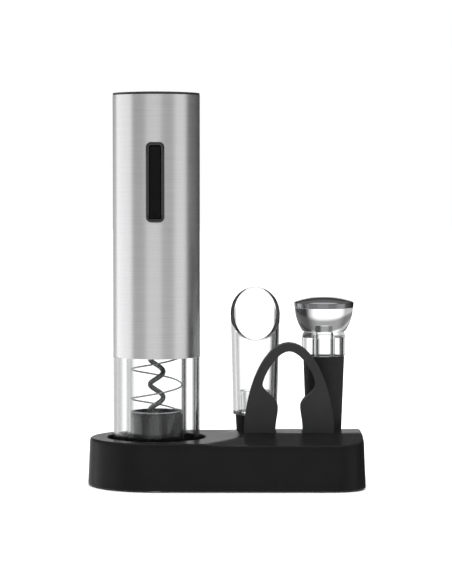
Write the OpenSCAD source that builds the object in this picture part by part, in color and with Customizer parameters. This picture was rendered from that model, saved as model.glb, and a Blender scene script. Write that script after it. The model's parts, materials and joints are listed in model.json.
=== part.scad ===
// Battery wine opener standing in its base, with a foil cutter, a pouring spout and a
// vacuum stopper. Millimetres, +Z up, origin under the middle of the base.

/* [Base] */
// Length of the base
base_l = 159; // [145:1:190]
// Depth of the base, which is also twice the radius of its round end
base_w = 79; // [76:1:95]
// Height of the round end above the feet's level
base_h = 26.7; // [24:0.1:33]
// How far the accessory deck stands above the round end
deck_rise = 3; // [2:0.1:5]
// Height that the feet stand proud of the base
foot_h = 0.8; // [0.5:0.1:2]
// Radius of the two corners of the square end
corner_r = 18; // [8:0.5:22]
// How far the walls lean in from bottom to top
base_draft = 1.1; // [0.4:0.1:1.6]
// Thickness of the outer wall
base_wall = 2.4; // [1.8:0.1:3]
// Thickness of the top
base_top = 4; // [3.4:0.1:5]
// How far the foot of the front facet lies below the round end
facet_drop = 1.4; // [0.5:0.1:2]
// Front edge of the flat accessory deck, along Y
deck_front_y = -7.8; // [-8.4:0.1:-7.6]
// Back edge of the flat deck, where it starts to fall towards the back
deck_back_y = 14; // [12:0.5:20]
// Where the ramp from the round end up to the deck starts, along X
ramp_x = -6; // [-8:0.5:-4]
// Length of that ramp
ramp_l = 20; // [12:0.5:21]
// Height of the floors that the opener and the accessories stand on
floor_z = 9; // [7.5:0.1:11]

/* [Opener] */
// Outer diameter of the steel tube and of the clear sleeve
tube_d = 50; // [49:0.5:56]
// Wall of the steel tube
tube_wall = 0.8; // [0.5:0.1:1]
// Length of the steel tube
tube_l = 149.8; // [149:1:175]
// Height of the clear window between the base floor and the steel tube
window_h = 65.1; // [60:0.5:72]
// Wall of the clear sleeve
sleeve_wall = 2.2; // [1.8:0.1:2.4]
// Radial gap between the sleeve and the socket in the base
socket_gap = 3.2; // [1:0.1:3.6]
// Bore of the clear tube that guides a bottle's neck
guide_d = 31.5; // [30.6:0.1:33]
// Wall of the guide tube
guide_wall = 1.75; // [1.2:0.05:2]
// Height of the top cap above the tube
cap_h = 2; // [1.5:0.1:4]

/* [Worm and spring] */
// Radius of the worm's centre line
worm_r = 3.75; // [3:0.05:4.2]
// Diameter of the worm's wire
worm_wire = 2.9; // [2:0.1:3.2]
// Rise of one turn of the worm
worm_pitch = 14.75; // [10:0.25:16]
// Gap between the worm's tip and the floor of the socket
worm_tip_gap = 18.5; // [12:0.5:20]
// Diameter of the spring's wire
spring_wire = 0.9; // [0.6:0.1:1.2]
// Rise of one open turn of the spring
spring_pitch = 17.1; // [12:0.1:20]
// Height of the neck ring
ring_h = 29.5; // [24:0.5:32]
// Bore of the neck ring, which a cork passes through
ring_bore_d = 25.5; // [24.5:0.1:26]

/* [Gearbox] */
// Module of all the gears
gear_m = 0.7; // [0.7:0.01:0.72]
// Width of the planet gears
gear_face = 5.8; // [5:0.1:6.4]
// Diameter of the planet pins
planet_pin_d = 3; // [2:0.1:4]

/* [Button] */
// Width of the button's frame
button_w = 10.5; // [9.5:0.1:12]
// Height of the button's frame
button_h = 45.4; // [40:0.2:50]
// Width of the frame around the rocker
button_rim = 1.9; // [1.4:0.1:2]
// Distance from the top of the steel tube to the middle of the button
button_down = 49.7; // [48:0.5:54]

/* [Accessories] */
// Place of the pourer along X
pourer_x = 17.1; // [15:0.5:18]
// Place of the foil cutter along X
cutter_x = 36.3; // [34:0.5:38]
// Place of the vacuum stopper along X
stopper_x = 57.2; // [55:0.5:58]
// Distance of the pourer and the stopper behind the middle of the base
back_row_y = 22; // [21.5:0.1:22]
// Height of the pourer above the deck
pourer_h = 81.8; // [70:0.2:95]
// Widest diameter of the pourer
pourer_d = 31; // [26:0.5:31]
// Wall of the pourer
pourer_wall = 2.1; // [1.4:0.1:2.6]
// Height of the foil cutter above the deck
cutter_h = 51.5; // [46:0.5:60]
// Width of the foil cutter across its legs
cutter_w = 51.8; // [48:0.5:54]
// Depth of the foil cutter, front to back
cutter_t = 11.2; // [11:0.1:11.4]
// Height of the vacuum stopper above the deck
stopper_h = 76.8; // [70:0.2:90]
// Diameter of the stopper's metal cap
stopper_cap_d = 35; // [32:0.5:35]

/* [Hidden] */

round_fn = 96;
small_fn = 32;
cut = 1;

// Clearances
run_fit = 0.05;
slide_fit = 0.35;
place_fit = 0.1;

// Base levels
round_top_z = foot_h + base_h;
top_z = round_top_z + deck_rise;
opener_x = -base_l / 2 + base_w / 2;
inner_top_z = round_top_z - base_top;
plate_t = 2;
plate_top_z = foot_h + plate_t;
cup_wall = 1.8;
socket_r = tube_d / 2 + socket_gap;
boss_r = 3.4;
foot_r = 6;
foot_sunk = 0.6;
plate_inset = base_wall + place_fit;
socket_lip = 1;
sweep_reach = 6;
sweep_pull = 5;
fix_points = [
    [opener_x, base_w / 2 - 6.2], [opener_x, -base_w / 2 + 6.2],
    [base_l / 2 - 9, 0], [2, -base_w / 2 + 10], [-2, base_w / 2 - 7]
];
foot_points = [
    [opener_x - 20, 22], [opener_x - 20, -22], [base_l / 2 - 22, 25], [base_l / 2 - 22, -25]
];

// Opener levels, from the bottom up
tube_r = tube_d / 2;
tube_in_r = tube_r - tube_wall;
tube_z = floor_z + window_h;
tube_top_z = tube_z + tube_l;
sleeve_in_r = tube_r - sleeve_wall;
frame_r = tube_in_r - place_fit;
guide_r = guide_d / 2;
guide_out_r = guide_r + guide_wall;
guide_low_z = floor_z + 1;
guide_lip = 0.85;
guide_lip_h = 3;
ring_r = guide_r - 0.69;
ring_low_z = guide_low_z + guide_lip_h + place_fit;
ring_top_z = ring_low_z + ring_h;
ring_seat_h = 1.4;
ring_edge = 1;
ring_seat_play = 0.15;
ring_seat_r = ring_r - spring_wire - ring_seat_play;
house_z = tube_z + 20.4;
flange_t = 2;
flange_r = sleeve_in_r - place_fit;

// Gearbox: two planetary stages, both with 15-15-45 teeth
sun_teeth = 15;
planet_teeth = 15;
ring_teeth = sun_teeth + 2 * planet_teeth;
pressure = 25;
flank_gap = 0.05;
addendum = 0.9;
dedendum = 1.2;
orbit_r = gear_m * (sun_teeth + planet_teeth) / 2;
ring_gear_r = gear_m * ring_teeth / 2 + 3.25;
step_gap = 0.4;
disc_t = 2.3;
house_floor_t = 3.5;
house_floor_z = house_z + house_floor_t;
out_disc_z = house_floor_z + step_gap;
out_gear_z = out_disc_z + disc_t + step_gap;
in_disc_z = out_gear_z + gear_face + 2 * step_gap;
in_gear_z = in_disc_z + disc_t + step_gap;
house_top_z = in_gear_z + gear_face + 2;
disc_r = orbit_r + planet_pin_d / 2 + 2;
spindle_r = 4;
pin_proud = 0.2;
bush_r = 6.5;
pinion_bore_r = 1.15;
pinion_proud = 0.6;

// Motor and chassis
plate_z = house_top_z;
motor_plate_t = 3;
motor_z = plate_z + motor_plate_t;
motor_r = 12.2;
motor_l = 30.8;
motor_boss_r = 3.2;
motor_boss_h = 1.4;
motor_wall = 1.2;
motor_screw_x = 8;
core_play = 1.2;
core_low_gap = 4;
core_high_gap = 8;
core_slot_w = 2;
core_slot_from = 0.4;
commutator_r = 3;
commutator_l = 5;
chassis_wall = 1.8;
chassis_l = motor_l + 4;
chassis_lug_w = 5.2;
chassis_lug_t = 10;
chassis_lug_h = 6;
chassis_rib_t = 2;
chassis_low_rib = 4;
chassis_high_rib = 8;
holder_z = motor_z + chassis_l;

// Battery compartment
cell_r = 7.2;
cell_l = 49.3;
cell_nub_h = 1.2;
cell_off = 8.05;
cell_gap = 0.25;
holder_floor_z = holder_z + 2.5;
cell_z = holder_z + 6;
cell_plus_r = 2.6;
cell_minus_r = 2;
cell_spring_wire = 0.45;
cell_spring_r = 4.6;
cell_spring_narrowing = 2;
cell_spring_turns = 4;
cell_pad_r = 5.6;
cell_top_z = cell_z + cell_l + cell_nub_h;
cap_z = tube_top_z;
cap_plate_t = 2;
contact_t = 0.5;
contact_w = 8;
cap_inner_z = cell_top_z + contact_t + 0.3;
cap_skirt_r = 21.4;
cap_skirt_t = 1.8;
cap_edge = 0.6;
lug_h = 2;
lug_reach = 1.4;
lug_deg = 16;
lug_play_deg = 2;
lug_root = 0.5;
lug_play = 0.3;
cap_turn_deg = 30;
lug_z = cap_inner_z + 1;
holder_top_z = cap_z - 0.6;

// Button and switch
button_z = tube_top_z - button_down;
flat_y = cell_off + cell_r + cell_gap + 1.1;
board_t = 1.6;
board_w = 13;
board_l = 40;
switch_t = 3;
switch_w = 6;
plunger_r = 1.6;
plunger_h = 0.25;
rocker_gap = 0.35;
rocker_t = 3;
frame_front_y = tube_r + 0.7;
rocker_front_y = tube_r + 0.2;
rocker_back_y = rocker_front_y - rocker_t;
button_corner_r = 2.9;
button_flange_w = button_w + 3.5;
button_flange_h = button_h + 4;
frame_back_y = rocker_back_y - 2;
switch_pitch = 30;
pivot_r = 0.8;
pivot_l = 0.9;
pivot_y = rocker_back_y + pivot_r + 0.3;

// Worm, chuck and spring
worm_tip_z = floor_z + worm_tip_gap;
chuck_r = 7.2;
chuck_edge = 1.2;
chuck_z = tube_z + 3;
chuck_top_z = house_z - 1.2;
worm_top_z = chuck_z + 8;
spindle_low_z = worm_top_z + worm_wire / 2 + 0.2;
worm_phase_z = floor_z + 56.05;
worm_point = 0.08;
worm_point_h = worm_pitch * 0.45;
spring_r = ring_r - spring_wire / 2 - 0.06;
spring_low_z = ring_top_z - ring_seat_h + spring_wire / 2 + 0.05;
spring_high_z = house_z - spring_wire / 2 - 0.05;
dead_rise = spring_wire + 0.05;
spring_phase = 41;

// Foil cutter
cutter_y = deck_front_y + 0.6 + cutter_t / 2;
cutter_gap_half = 7.95;
cutter_band = 4.8;
neck_r = 14.5;
wheel_r = 2.6;
wheel_t = 0.8;
wheel_bite = 0.9;
wheel_edge_h = wheel_t * 0.35;
wheel_y = 2.85;
wheel_pin_r = 0.8;
wheel_z = floor_z + 5;
neck_recess_h = 9;
wheel_x = sqrt(pow(neck_r + wheel_r - wheel_bite, 2) - pow(wheel_y, 2));

// Pourer
bung_above = 8.1;
bung_low_r = 9.6;
pourer_bung_r = 11.6;
flange_h = 1.9;
pourer_flange_z = top_z + bung_above;
pourer_z = pourer_flange_z + flange_h;
pourer_top_z = top_z + pourer_h;
pourer_low_r = 12.1;
pourer_mouth_drop = 29.6;
insert_r = 8.2;
insert_flare = 0.6;
insert_h = 12;
insert_wall = 1.1;
pourer_bore_r = insert_r - insert_wall - 1;
pourer_flange_r = pourer_low_r + 0.2;

// Vacuum stopper
stopper_top_z = top_z + stopper_h;
stopper_dome_h = 3.1;
stopper_rim_h = 3.4;
cap_low_edge = 0.4;
cap_high_edge = 0.6;
head_h = 13.7;
head_low_r = 11.8;
head_high_r = stopper_cap_d / 2 - 0.5;
head_gap = 0.2;
rod_in_head = 4;
head_top_z = stopper_top_z - stopper_dome_h - stopper_rim_h;
head_z = head_top_z - head_h;
collar_h = 14.3;
collar_r = 12.7;
collar_bevel = 2.4;
collar_edge = 0.3;
collar_top_in = 1;
collar_wall = 2;
collar_z = head_z - collar_h;
collar_top_z = head_z - head_gap;
collar_groove_z = collar_top_z - collar_bevel - collar_top_in;
collar_bore_r = 4.9;
collar_sleeve_r = collar_bore_r + 1.8;
stopper_bung_r = 12;
rod_r = 4.5;
rod_low_z = collar_z - 18;
seal_h = 4;

// Fixings
fix_r = 1.4;
fix_l = 10;
fix_head_r = 2.8;
fix_seat = 0.8;
slot_width = 0.3;
slot_length = 1.2;
small_head_r = 1.8;
small_head_h = 1.4;
guide_screw_r = 1;
guide_screw_l = 2.4;
guide_screw_orbit = 20;
box_screw_r = 1;
box_screw_l = 6;
box_screw_orbit = ring_gear_r + (frame_r - ring_gear_r) / 2;
motor_screw_r = 1.25;
motor_screw_head_r = 2.2;
motor_screw_head_h = 1.4;
chassis_screw_r = 1;
chassis_screw_x = (motor_r + frame_r - chassis_wall) / 2;
chassis_screw_z = motor_z + 9;
chassis_screw_head_r = 2.2;
chassis_screw_head_h = 1.3;
lug_start_deg = 20;

// Pockets for the two bungs
pourer_pocket_r = pocket_r(pourer_bung_r, pourer_flange_z);
stopper_pocket_r = pocket_r(stopper_bung_r, collar_z);

// Stopper bore
bung_bore_r = 8;
bung_vent_r = 2;
pump_margin = 2;

// ---------- Curves ----------

// A point on a cubic curve with four control points
function bezier(p, t) =
    p[0] * pow(1 - t, 3) + p[1] * 3 * t * pow(1 - t, 2) + p[2] * 3 * t * t * (1 - t) + p[3] * pow(t, 3);

function bezier_points(p, steps) = [for (i = [0:steps]) bezier(p, i / steps)];

function backwards(points) = [for (i = [len(points) - 1:-1:0]) points[i]];

// The same points on the other side of x = 0, in the opposite order
function mirrored(points) = [for (p = backwards(points)) if (p[0] > 0) [-p[0], p[1]]];

function inv_deg(a) = tan(a) * 180 / PI - a;

// Half the angle that a gear tooth spans at radius r, thinned by gap on each flank
function half_tooth(r, teeth, gap) =
    let (pitch_r = gear_m * teeth / 2, base_r = pitch_r * cos(pressure))
    90 / teeth - gap / pitch_r * 180 / PI + inv_deg(pressure) - inv_deg(acos(min(1, base_r / r)));

function gear_points(teeth, root_r, tip_r, gap, steps = 3) = [
    for (i = [0:teeth - 1], side = [-1, 1], k = [0:steps])
        let (
            step = side < 0 ? k : steps - k,
            r = root_r + (tip_r - root_r) * step / steps,
            a = 360 * i / teeth + side * half_tooth(r, teeth, gap)
        )
        [r * cos(a), r * sin(a)]
];

function outer_gear_points(teeth) = gear_points(
    teeth, gear_m * (teeth / 2 - dedendum), gear_m * (teeth / 2 + addendum), flank_gap);

// A closed tube of circles, where each ring is [centre, direction angle, rise angle, radius]
module coil_tube(rings, sides) {
    count = len(rings);
    points = [
        for (ring = rings, j = [0:sides - 1])
            let (
                a = 360 * j / sides,
                u = ring[3] * cos(a),
                v = ring[3] * sin(a),
                d = ring[1],
                e = ring[2]
            )
            ring[0] + [
                u * cos(d) + v * sin(d) * sin(e),
                u * sin(d) - v * cos(d) * sin(e),
                v * cos(e)
            ]
    ];
    skin = [
        for (i = [0:count - 2], j = [0:sides - 1])
            let (k = (j + 1) % sides, a = i * sides + j, b = i * sides + k, c = a + sides, d = b + sides)
            each [[a, b, d], [a, d, c]]
    ];
    low_end = [for (j = [1:sides - 2]) [0, j + 1, j]];
    high = (count - 1) * sides;
    high_end = [for (j = [1:sides - 2]) [high, high + j, high + j + 1]];
    polyhedron(points = points, faces = concat(skin, low_end, high_end), convexity = 10);
}

// ---------- Plain shapes ----------

module ring_tube(out_r, in_r, low, high) {
    rotate_extrude($fn = round_fn)
        translate([in_r, low])
            square([out_r - in_r, high - low]);
}

module disc(r, low, high) {
    translate([0, 0, low])
        cylinder(r = r, h = high - low, $fn = round_fn);
}

module rounded_rect(w, h, r) {
    for (s = [-1, 1]) {
        square([w - 2 * r * (s + 1) / 2, h - 2 * r * (1 - s) / 2], center = true);
    }
    for (x = [-1, 1], y = [-1, 1]) {
        translate([x * (w / 2 - r), y * (h / 2 - r)])
            circle(r = r, $fn = small_fn);
    }
}

// A vertical rounded slab in front of the tube, between two distances from its axis
module front_slab(w, h, r, near, far) {
    translate([0, -near, button_z])
        rotate([90, 0, 0])
            linear_extrude(far - near)
                rounded_rect(w, h, r);
}

module at_opener() {
    translate([opener_x, 0, 0])
        children();
}

module at_cutter() {
    translate([cutter_x, cutter_y, 0])
        children();
}

module at_pourer() {
    translate([pourer_x, back_row_y, 0])
        children();
}

module at_stopper() {
    translate([stopper_x, back_row_y, 0])
        children();
}

module three_around() {
    for (i = [0:2]) {
        rotate([0, 0, 120 * i])
            children();
    }
}

// A screw that points up, with its head's underside at the origin
module screw(shank_r, shank_l, head_r, head_h) {
    slot_w = head_r * slot_width;
    slot_l = head_r * slot_length;
    translate([0, 0, -head_h]) {
        difference() {
            cylinder(r = head_r, h = head_h, $fn = small_fn);
            for (a = [0, 90]) {
                rotate([0, 0, a])
                    translate([-slot_l / 2, -slot_w / 2, -cut])
                        cube([slot_l, slot_w, cut + head_h / 2]);
            }
        }
    }
    cylinder(r = shank_r, h = shank_l, $fn = small_fn);
}

// ---------- Base ----------

// One round end and two rounded corners, shrunk by inset all round
module base_block(low, high, inset) {
    taper = base_draft * (high - low) / base_h;
    lean = base_draft * (low - foot_h) / base_h;
    end_r = base_w / 2 - inset - lean;
    side_r = corner_r - inset - lean;
    hull() {
        translate([opener_x, 0, low])
            cylinder(r1 = end_r, r2 = end_r - taper, h = high - low, $fn = round_fn);
        for (s = [-1, 1]) {
            translate([base_l / 2 - corner_r, s * (base_w / 2 - corner_r), low])
                cylinder(r1 = side_r, r2 = side_r - taper, h = high - low, $fn = small_fn);
        }
    }
}

// Side view of the deck: it falls to a low edge in front and to the round end's level behind
module deck_profile() {
    facet_low_z = round_top_z - facet_drop;
    front_run = base_w / 2 + deck_front_y;
    back_run = base_w / 2 - deck_back_y;
    polygon([
        [deck_front_y, top_z],
        [deck_back_y, top_z],
        [deck_back_y + 2 * back_run, top_z - 2 * deck_rise],
        [deck_back_y + 2 * back_run, 0],
        [deck_front_y - 2 * front_run, 0],
        [deck_front_y - 2 * front_run, top_z - 2 * (top_z - facet_low_z)]
    ]);
}

// Front view of the deck, which a ramp joins to the round end
module ramp_profile() {
    polygon([
        [ramp_x - ramp_l, 0],
        [ramp_x - ramp_l, round_top_z - deck_rise],
        [ramp_x + ramp_l, top_z],
        [base_l, top_z],
        [base_l, 0]
    ]);
}

// The space under the top: flat over the round end, raised under the accessories
module under_top() {
    translate([-base_l, -base_w, 0])
        cube([2 * base_l, 2 * base_w, round_top_z]);
    intersection() {
        translate([-base_l, 0, 0])
            rotate([90, 0, 90])
                linear_extrude(2 * base_l)
                    deck_profile();
        translate([0, base_w, 0])
            rotate([90, 0, 0])
                linear_extrude(2 * base_w)
                    ramp_profile();
    }
}

// The space above the front facet where it dips below the round end, swept back in an S
module facet_space() {
    front_y = -base_w / 2 - cut;
    meet_y = deck_front_y - (base_w / 2 + deck_front_y) * deck_rise / (deck_rise + facet_drop);
    sweep = bezier_points([
        [ramp_x - sweep_reach, front_y], [ramp_x, front_y + sweep_pull],
        [ramp_x - sweep_reach / 2, meet_y], [ramp_x + 1, meet_y]
    ], 8);
    difference() {
        translate([0, 0, inner_top_z])
            linear_extrude(2 * base_top)
                polygon(concat(sweep, [[base_l, meet_y], [base_l, front_y]]));
        translate([-base_l, 0, 0])
            rotate([90, 0, 90])
                linear_extrude(2 * base_l)
                    deck_profile();
    }
}

module leg_pockets(gap, low, high) {
    leg_w = cutter_w / 2 - cutter_gap_half + 2 * gap;
    for (s = [-1, 1]) {
        at_cutter()
            translate([s * (cutter_w / 2 + cutter_gap_half) / 2, 0, (low + high) / 2])
                cube([leg_w, cutter_t + 2 * gap, high - low], center = true);
    }
}

module base_shell() {
    cup_floor = floor_z - cup_wall;
    color([0.14, 0.14, 0.145])
        difference() {
            union() {
                difference() {
                    intersection() {
                        base_block(foot_h, top_z, 0);
                        under_top();
                    }
                    base_block(foot_h - cut, inner_top_z, base_wall);
                }
                at_opener()
                    disc(socket_r + cup_wall, cup_floor, inner_top_z + cut);
                at_pourer()
                    disc(pourer_pocket_r + cup_wall, cup_floor, inner_top_z + cut);
                at_stopper()
                    disc(stopper_pocket_r + cup_wall, cup_floor, inner_top_z + cut);
                leg_pockets(slide_fit + cup_wall, cup_floor, inner_top_z + cut);
                for (p = fix_points) {
                    translate([p[0], p[1], 0])
                        disc(boss_r, plate_top_z, inner_top_z + cut);
                }
            }
            at_opener() {
                disc(socket_r, floor_z, top_z + cut);
                translate([0, 0, round_top_z - socket_lip])
                    cylinder(r1 = socket_r, r2 = socket_r + 2 * socket_lip, h = 2 * socket_lip,
                        $fn = round_fn);
            }
            at_pourer()
                disc(pourer_pocket_r, floor_z, top_z + cut);
            at_stopper()
                disc(stopper_pocket_r, floor_z, top_z + cut);
            leg_pockets(slide_fit, floor_z, top_z + cut);
            facet_space();
            for (p = fix_points) {
                translate([p[0], p[1], 0])
                    disc(fix_r, plate_top_z - cut, plate_top_z + fix_l);
            }
        }
}

module base_plate() {
    color([0.1, 0.1, 0.1])
        difference() {
            base_block(foot_h, plate_top_z, plate_inset);
            for (p = fix_points) {
                translate([p[0], p[1], 0]) {
                    disc(fix_r + place_fit, foot_h - cut, plate_top_z + cut);
                    disc(fix_head_r + place_fit, foot_h - cut, plate_top_z - fix_seat);
                }
            }
            for (p = foot_points) {
                translate([p[0], p[1], 0])
                    disc(foot_r, foot_h - cut, foot_h + foot_sunk);
            }
        }
}

module base_feet() {
    color([0.08, 0.08, 0.08])
        for (p = foot_points) {
            translate([p[0], p[1], 0])
                disc(foot_r, 0, foot_h + foot_sunk);
        }
}

module base_screws() {
    color([0.6, 0.6, 0.62])
        for (p = fix_points) {
            translate([p[0], p[1], plate_top_z - fix_seat])
                screw(fix_r, fix_seat + fix_l - cut, fix_head_r, plate_t - fix_seat - place_fit);
        }
}

// ---------- Opener: outside ----------

module steel_tube() {
    color([0.78, 0.79, 0.8])
        at_opener()
            difference() {
                ring_tube(tube_r, tube_in_r, tube_z, tube_top_z);
                front_slab(button_w, button_h, button_corner_r, frame_back_y, tube_r + cut);
            }
}

module clear_sleeve() {
    color([0.9, 0.92, 0.93, 0.35])
        at_opener()
            rotate_extrude($fn = round_fn)
                polygon([
                    [sleeve_in_r, floor_z],
                    [tube_r, floor_z],
                    [tube_r, tube_z],
                    [frame_r, tube_z],
                    [frame_r, house_z],
                    [sleeve_in_r, house_z]
                ]);
}

module guide_tube() {
    color([0.9, 0.92, 0.93, 0.35])
        at_opener()
            difference() {
                rotate_extrude($fn = round_fn)
                    polygon([
                        [guide_r - guide_lip, guide_low_z],
                        [guide_out_r, guide_low_z],
                        [guide_out_r, house_z - flange_t],
                        [flange_r, house_z - flange_t],
                        [flange_r, house_z],
                        [guide_r, house_z],
                        [guide_r, guide_low_z + guide_lip_h],
                        [guide_r - guide_lip, guide_low_z + guide_lip_h]
                    ]);
                three_around()
                    translate([guide_screw_orbit, 0, 0])
                        disc(guide_screw_r + place_fit, house_z - flange_t - cut, house_z + cut);
            }
}

module guide_screws() {
    color([0.6, 0.6, 0.62])
        at_opener()
            three_around()
                translate([guide_screw_orbit, 0, house_z - flange_t])
                    screw(guide_screw_r, flange_t + guide_screw_l, small_head_r, small_head_h);
}

module neck_ring() {
    color([0.05, 0.05, 0.05])
        at_opener()
            rotate_extrude($fn = round_fn)
                polygon([
                    [ring_bore_d / 2 + ring_edge, ring_low_z],
                    [ring_r, ring_low_z],
                    [ring_r, ring_top_z - ring_seat_h],
                    [ring_seat_r, ring_top_z - ring_seat_h],
                    [ring_seat_r, ring_top_z],
                    [ring_bore_d / 2, ring_top_z],
                    [ring_bore_d / 2, ring_low_z + ring_edge]
                ]);
}

// Angle and height along the spring: a closed turn, open turns and a closed turn
function spring_ring(a, z, slope) = [
    [spring_r * cos(a), spring_r * sin(a), z], a, slope, spring_wire / 2
];

module ring_spring() {
    turn_steps = 28;
    step = 360 / turn_steps;
    low = spring_low_z + dead_rise;
    high = spring_high_z - dead_rise;
    open_deg = 360 * (high - low) / spring_pitch;
    open_steps = ceil(open_deg / step);
    slope = atan(spring_pitch / (2 * PI * spring_r));
    closed_low = [
        for (i = [-turn_steps:-1])
            spring_ring(spring_phase + i * step, low + dead_rise * i / turn_steps, 0)
    ];
    open_turns = [
        for (i = [0:open_steps])
            let (t = i / open_steps)
                spring_ring(spring_phase + open_deg * t, low + (high - low) * t, slope)
    ];
    closed_high = [
        for (i = [1:turn_steps])
            spring_ring(spring_phase + open_deg + i * step, high + dead_rise * i / turn_steps, 0)
    ];
    color([0.4, 0.4, 0.42])
        at_opener()
            coil_tube(concat(closed_low, open_turns, closed_high), 8);
}

// ---------- Opener: worm and gearbox ----------

// The wire narrows to a point at its tip and its turns close in towards the axis there
module worm() {
    count = ceil((worm_top_z - worm_tip_z) / worm_pitch * 24);
    slope = atan(worm_pitch / (2 * PI * worm_r));
    rings = [
        for (i = [0:count])
            let (
                z = worm_tip_z + (worm_top_z - worm_tip_z) * i / count,
                a = 360 * (z - worm_phase_z) / worm_pitch,
                t = min(1, (z - worm_tip_z) / worm_point_h),
                wire = worm_wire / 2 * (worm_point + (1 - worm_point) * t)
            )
            [[worm_r * cos(a), worm_r * sin(a), z], a, slope, wire]
    ];
    color([0.3, 0.3, 0.31])
        at_opener()
            coil_tube(rings, 12);
}

module worm_chuck() {
    color([0.1, 0.1, 0.1])
        at_opener()
            difference() {
                rotate_extrude($fn = round_fn)
                    polygon([
                        [0, chuck_z],
                        [chuck_r - chuck_edge, chuck_z],
                        [chuck_r, chuck_z + chuck_edge],
                        [chuck_r, chuck_top_z],
                        [0, chuck_top_z]
                    ]);
                disc(spindle_r, spindle_low_z, chuck_top_z + cut);
            }
}

module gearbox_housing() {
    color([0.2, 0.2, 0.21])
        at_opener()
            difference() {
                disc(frame_r, house_z, house_top_z);
                disc(ring_gear_r, house_floor_z, house_top_z + cut);
                disc(bush_r, house_z - cut, house_floor_z + cut);
                three_around() {
                    translate([guide_screw_orbit, 0, 0])
                        disc(guide_screw_r, house_z - cut, house_z + guide_screw_l + 1);
                    rotate([0, 0, 60])
                        translate([box_screw_orbit, 0, 0])
                            disc(box_screw_r, house_top_z - box_screw_l - 1, house_top_z + cut);
                }
            }
}

module ring_gear() {
    color([0.85, 0.84, 0.8])
        at_opener()
            translate([0, 0, house_floor_z])
                linear_extrude(house_top_z - house_floor_z)
                    difference() {
                        circle(r = ring_gear_r, $fn = round_fn);
                        polygon(gear_points(
                            ring_teeth,
                            gear_m * (ring_teeth / 2 - addendum),
                            gear_m * (ring_teeth / 2 + dedendum),
                            -flank_gap
                        ));
                    }
}

module output_bush() {
    color([0.75, 0.6, 0.3])
        at_opener()
            ring_tube(bush_r, spindle_r + run_fit, house_z, house_floor_z);
}

module carrier_disc(low, gear_z) {
    disc(disc_r, low, low + disc_t);
    three_around()
        translate([orbit_r, 0, 0])
            disc(planet_pin_d / 2, low + disc_t, gear_z + gear_face + pin_proud);
}

module output_carrier() {
    color([0.7, 0.7, 0.72])
        at_opener() {
            carrier_disc(out_disc_z, out_gear_z);
            disc(spindle_r, spindle_low_z, out_disc_z);
        }
}

module input_carrier() {
    color([0.7, 0.7, 0.72])
        at_opener() {
            carrier_disc(in_disc_z, in_gear_z);
            translate([0, 0, out_gear_z])
                linear_extrude(in_disc_z - out_gear_z)
                    polygon(outer_gear_points(sun_teeth));
        }
}

module planet(index, low) {
    color([0.9, 0.9, 0.86])
        at_opener()
            rotate([0, 0, 120 * (index - 1)])
                translate([orbit_r, 0, low])
                    difference() {
                        linear_extrude(gear_face)
                            polygon(outer_gear_points(planet_teeth));
                        translate([0, 0, -cut])
                            cylinder(r = planet_pin_d / 2 + run_fit, h = gear_face + 2 * cut,
                                $fn = small_fn);
                    }
}

module motor_pinion() {
    color([0.75, 0.6, 0.3])
        at_opener()
            translate([0, 0, in_gear_z])
                difference() {
                    linear_extrude(gear_face + pinion_proud)
                        polygon(outer_gear_points(sun_teeth));
                    translate([0, 0, -cut])
                        cylinder(r = pinion_bore_r, h = gear_face + 3 * cut, $fn = small_fn);
                }
}

module motor_plate() {
    color([0.7, 0.7, 0.72])
        at_opener()
            difference() {
                disc(frame_r, plate_z, motor_z);
                disc(motor_boss_r, plate_z - cut, motor_z + cut);
                for (s = [-1, 1]) {
                    translate([s * motor_screw_x, 0, 0]) {
                        disc(motor_screw_r + place_fit, plate_z - cut, motor_z + cut);
                        disc(motor_screw_head_r + place_fit, plate_z - cut, plate_z + motor_screw_head_h);
                    }
                }
                three_around()
                    rotate([0, 0, 60])
                        translate([box_screw_orbit, 0, 0])
                            disc(box_screw_r + place_fit, plate_z - cut, motor_z + cut);
            }
}

module gearbox_screws() {
    color([0.6, 0.6, 0.62])
        at_opener()
            three_around()
                rotate([0, 0, 60])
                    translate([box_screw_orbit, 0, motor_z])
                        mirror([0, 0, 1])
                            screw(box_screw_r, motor_plate_t + box_screw_l, small_head_r, small_head_h);
}

module motor_screws() {
    color([0.6, 0.6, 0.62])
        at_opener()
            for (s = [-1, 1]) {
                translate([s * motor_screw_x, 0, plate_z + motor_screw_head_h])
                    screw(motor_screw_r, motor_plate_t - motor_screw_head_h + motor_wall,
                        motor_screw_head_r, motor_screw_head_h - place_fit);
            }
}

module motor_can() {
    top = motor_z + motor_l;
    color([0.75, 0.75, 0.77])
        at_opener()
            difference() {
                union() {
                    disc(motor_r, motor_z, top);
                    disc(motor_boss_r - place_fit, motor_z - motor_boss_h, top + motor_boss_h);
                }
                disc(motor_r - motor_wall, motor_z + motor_wall, top - motor_wall);
                disc(pinion_bore_r + run_fit, motor_z - motor_boss_h - cut, top + motor_boss_h + cut);
                for (s = [-1, 1]) {
                    translate([s * motor_screw_x, 0, 0])
                        disc(motor_screw_r, motor_z - cut, motor_z + motor_wall + cut);
                }
            }
}

// Shaft, wound core with its three poles, and commutator
module motor_rotor() {
    core_low = motor_z + motor_wall + core_low_gap;
    core_high = motor_z + motor_l - motor_wall - core_high_gap;
    core_r = motor_r - motor_wall - core_play;
    color([0.6, 0.4, 0.25])
        at_opener() {
            disc(pinion_bore_r, in_gear_z, motor_z + motor_l + motor_boss_h);
            difference() {
                disc(core_r, core_low, core_high);
                three_around()
                    translate([core_r * core_slot_from, -core_slot_w / 2, core_low - cut])
                        cube([core_r, core_slot_w, core_high - core_low + 2 * cut]);
            }
            disc(commutator_r, core_high, core_high + commutator_l);
        }
}

// ---------- Opener: chassis, battery and switch ----------

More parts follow.
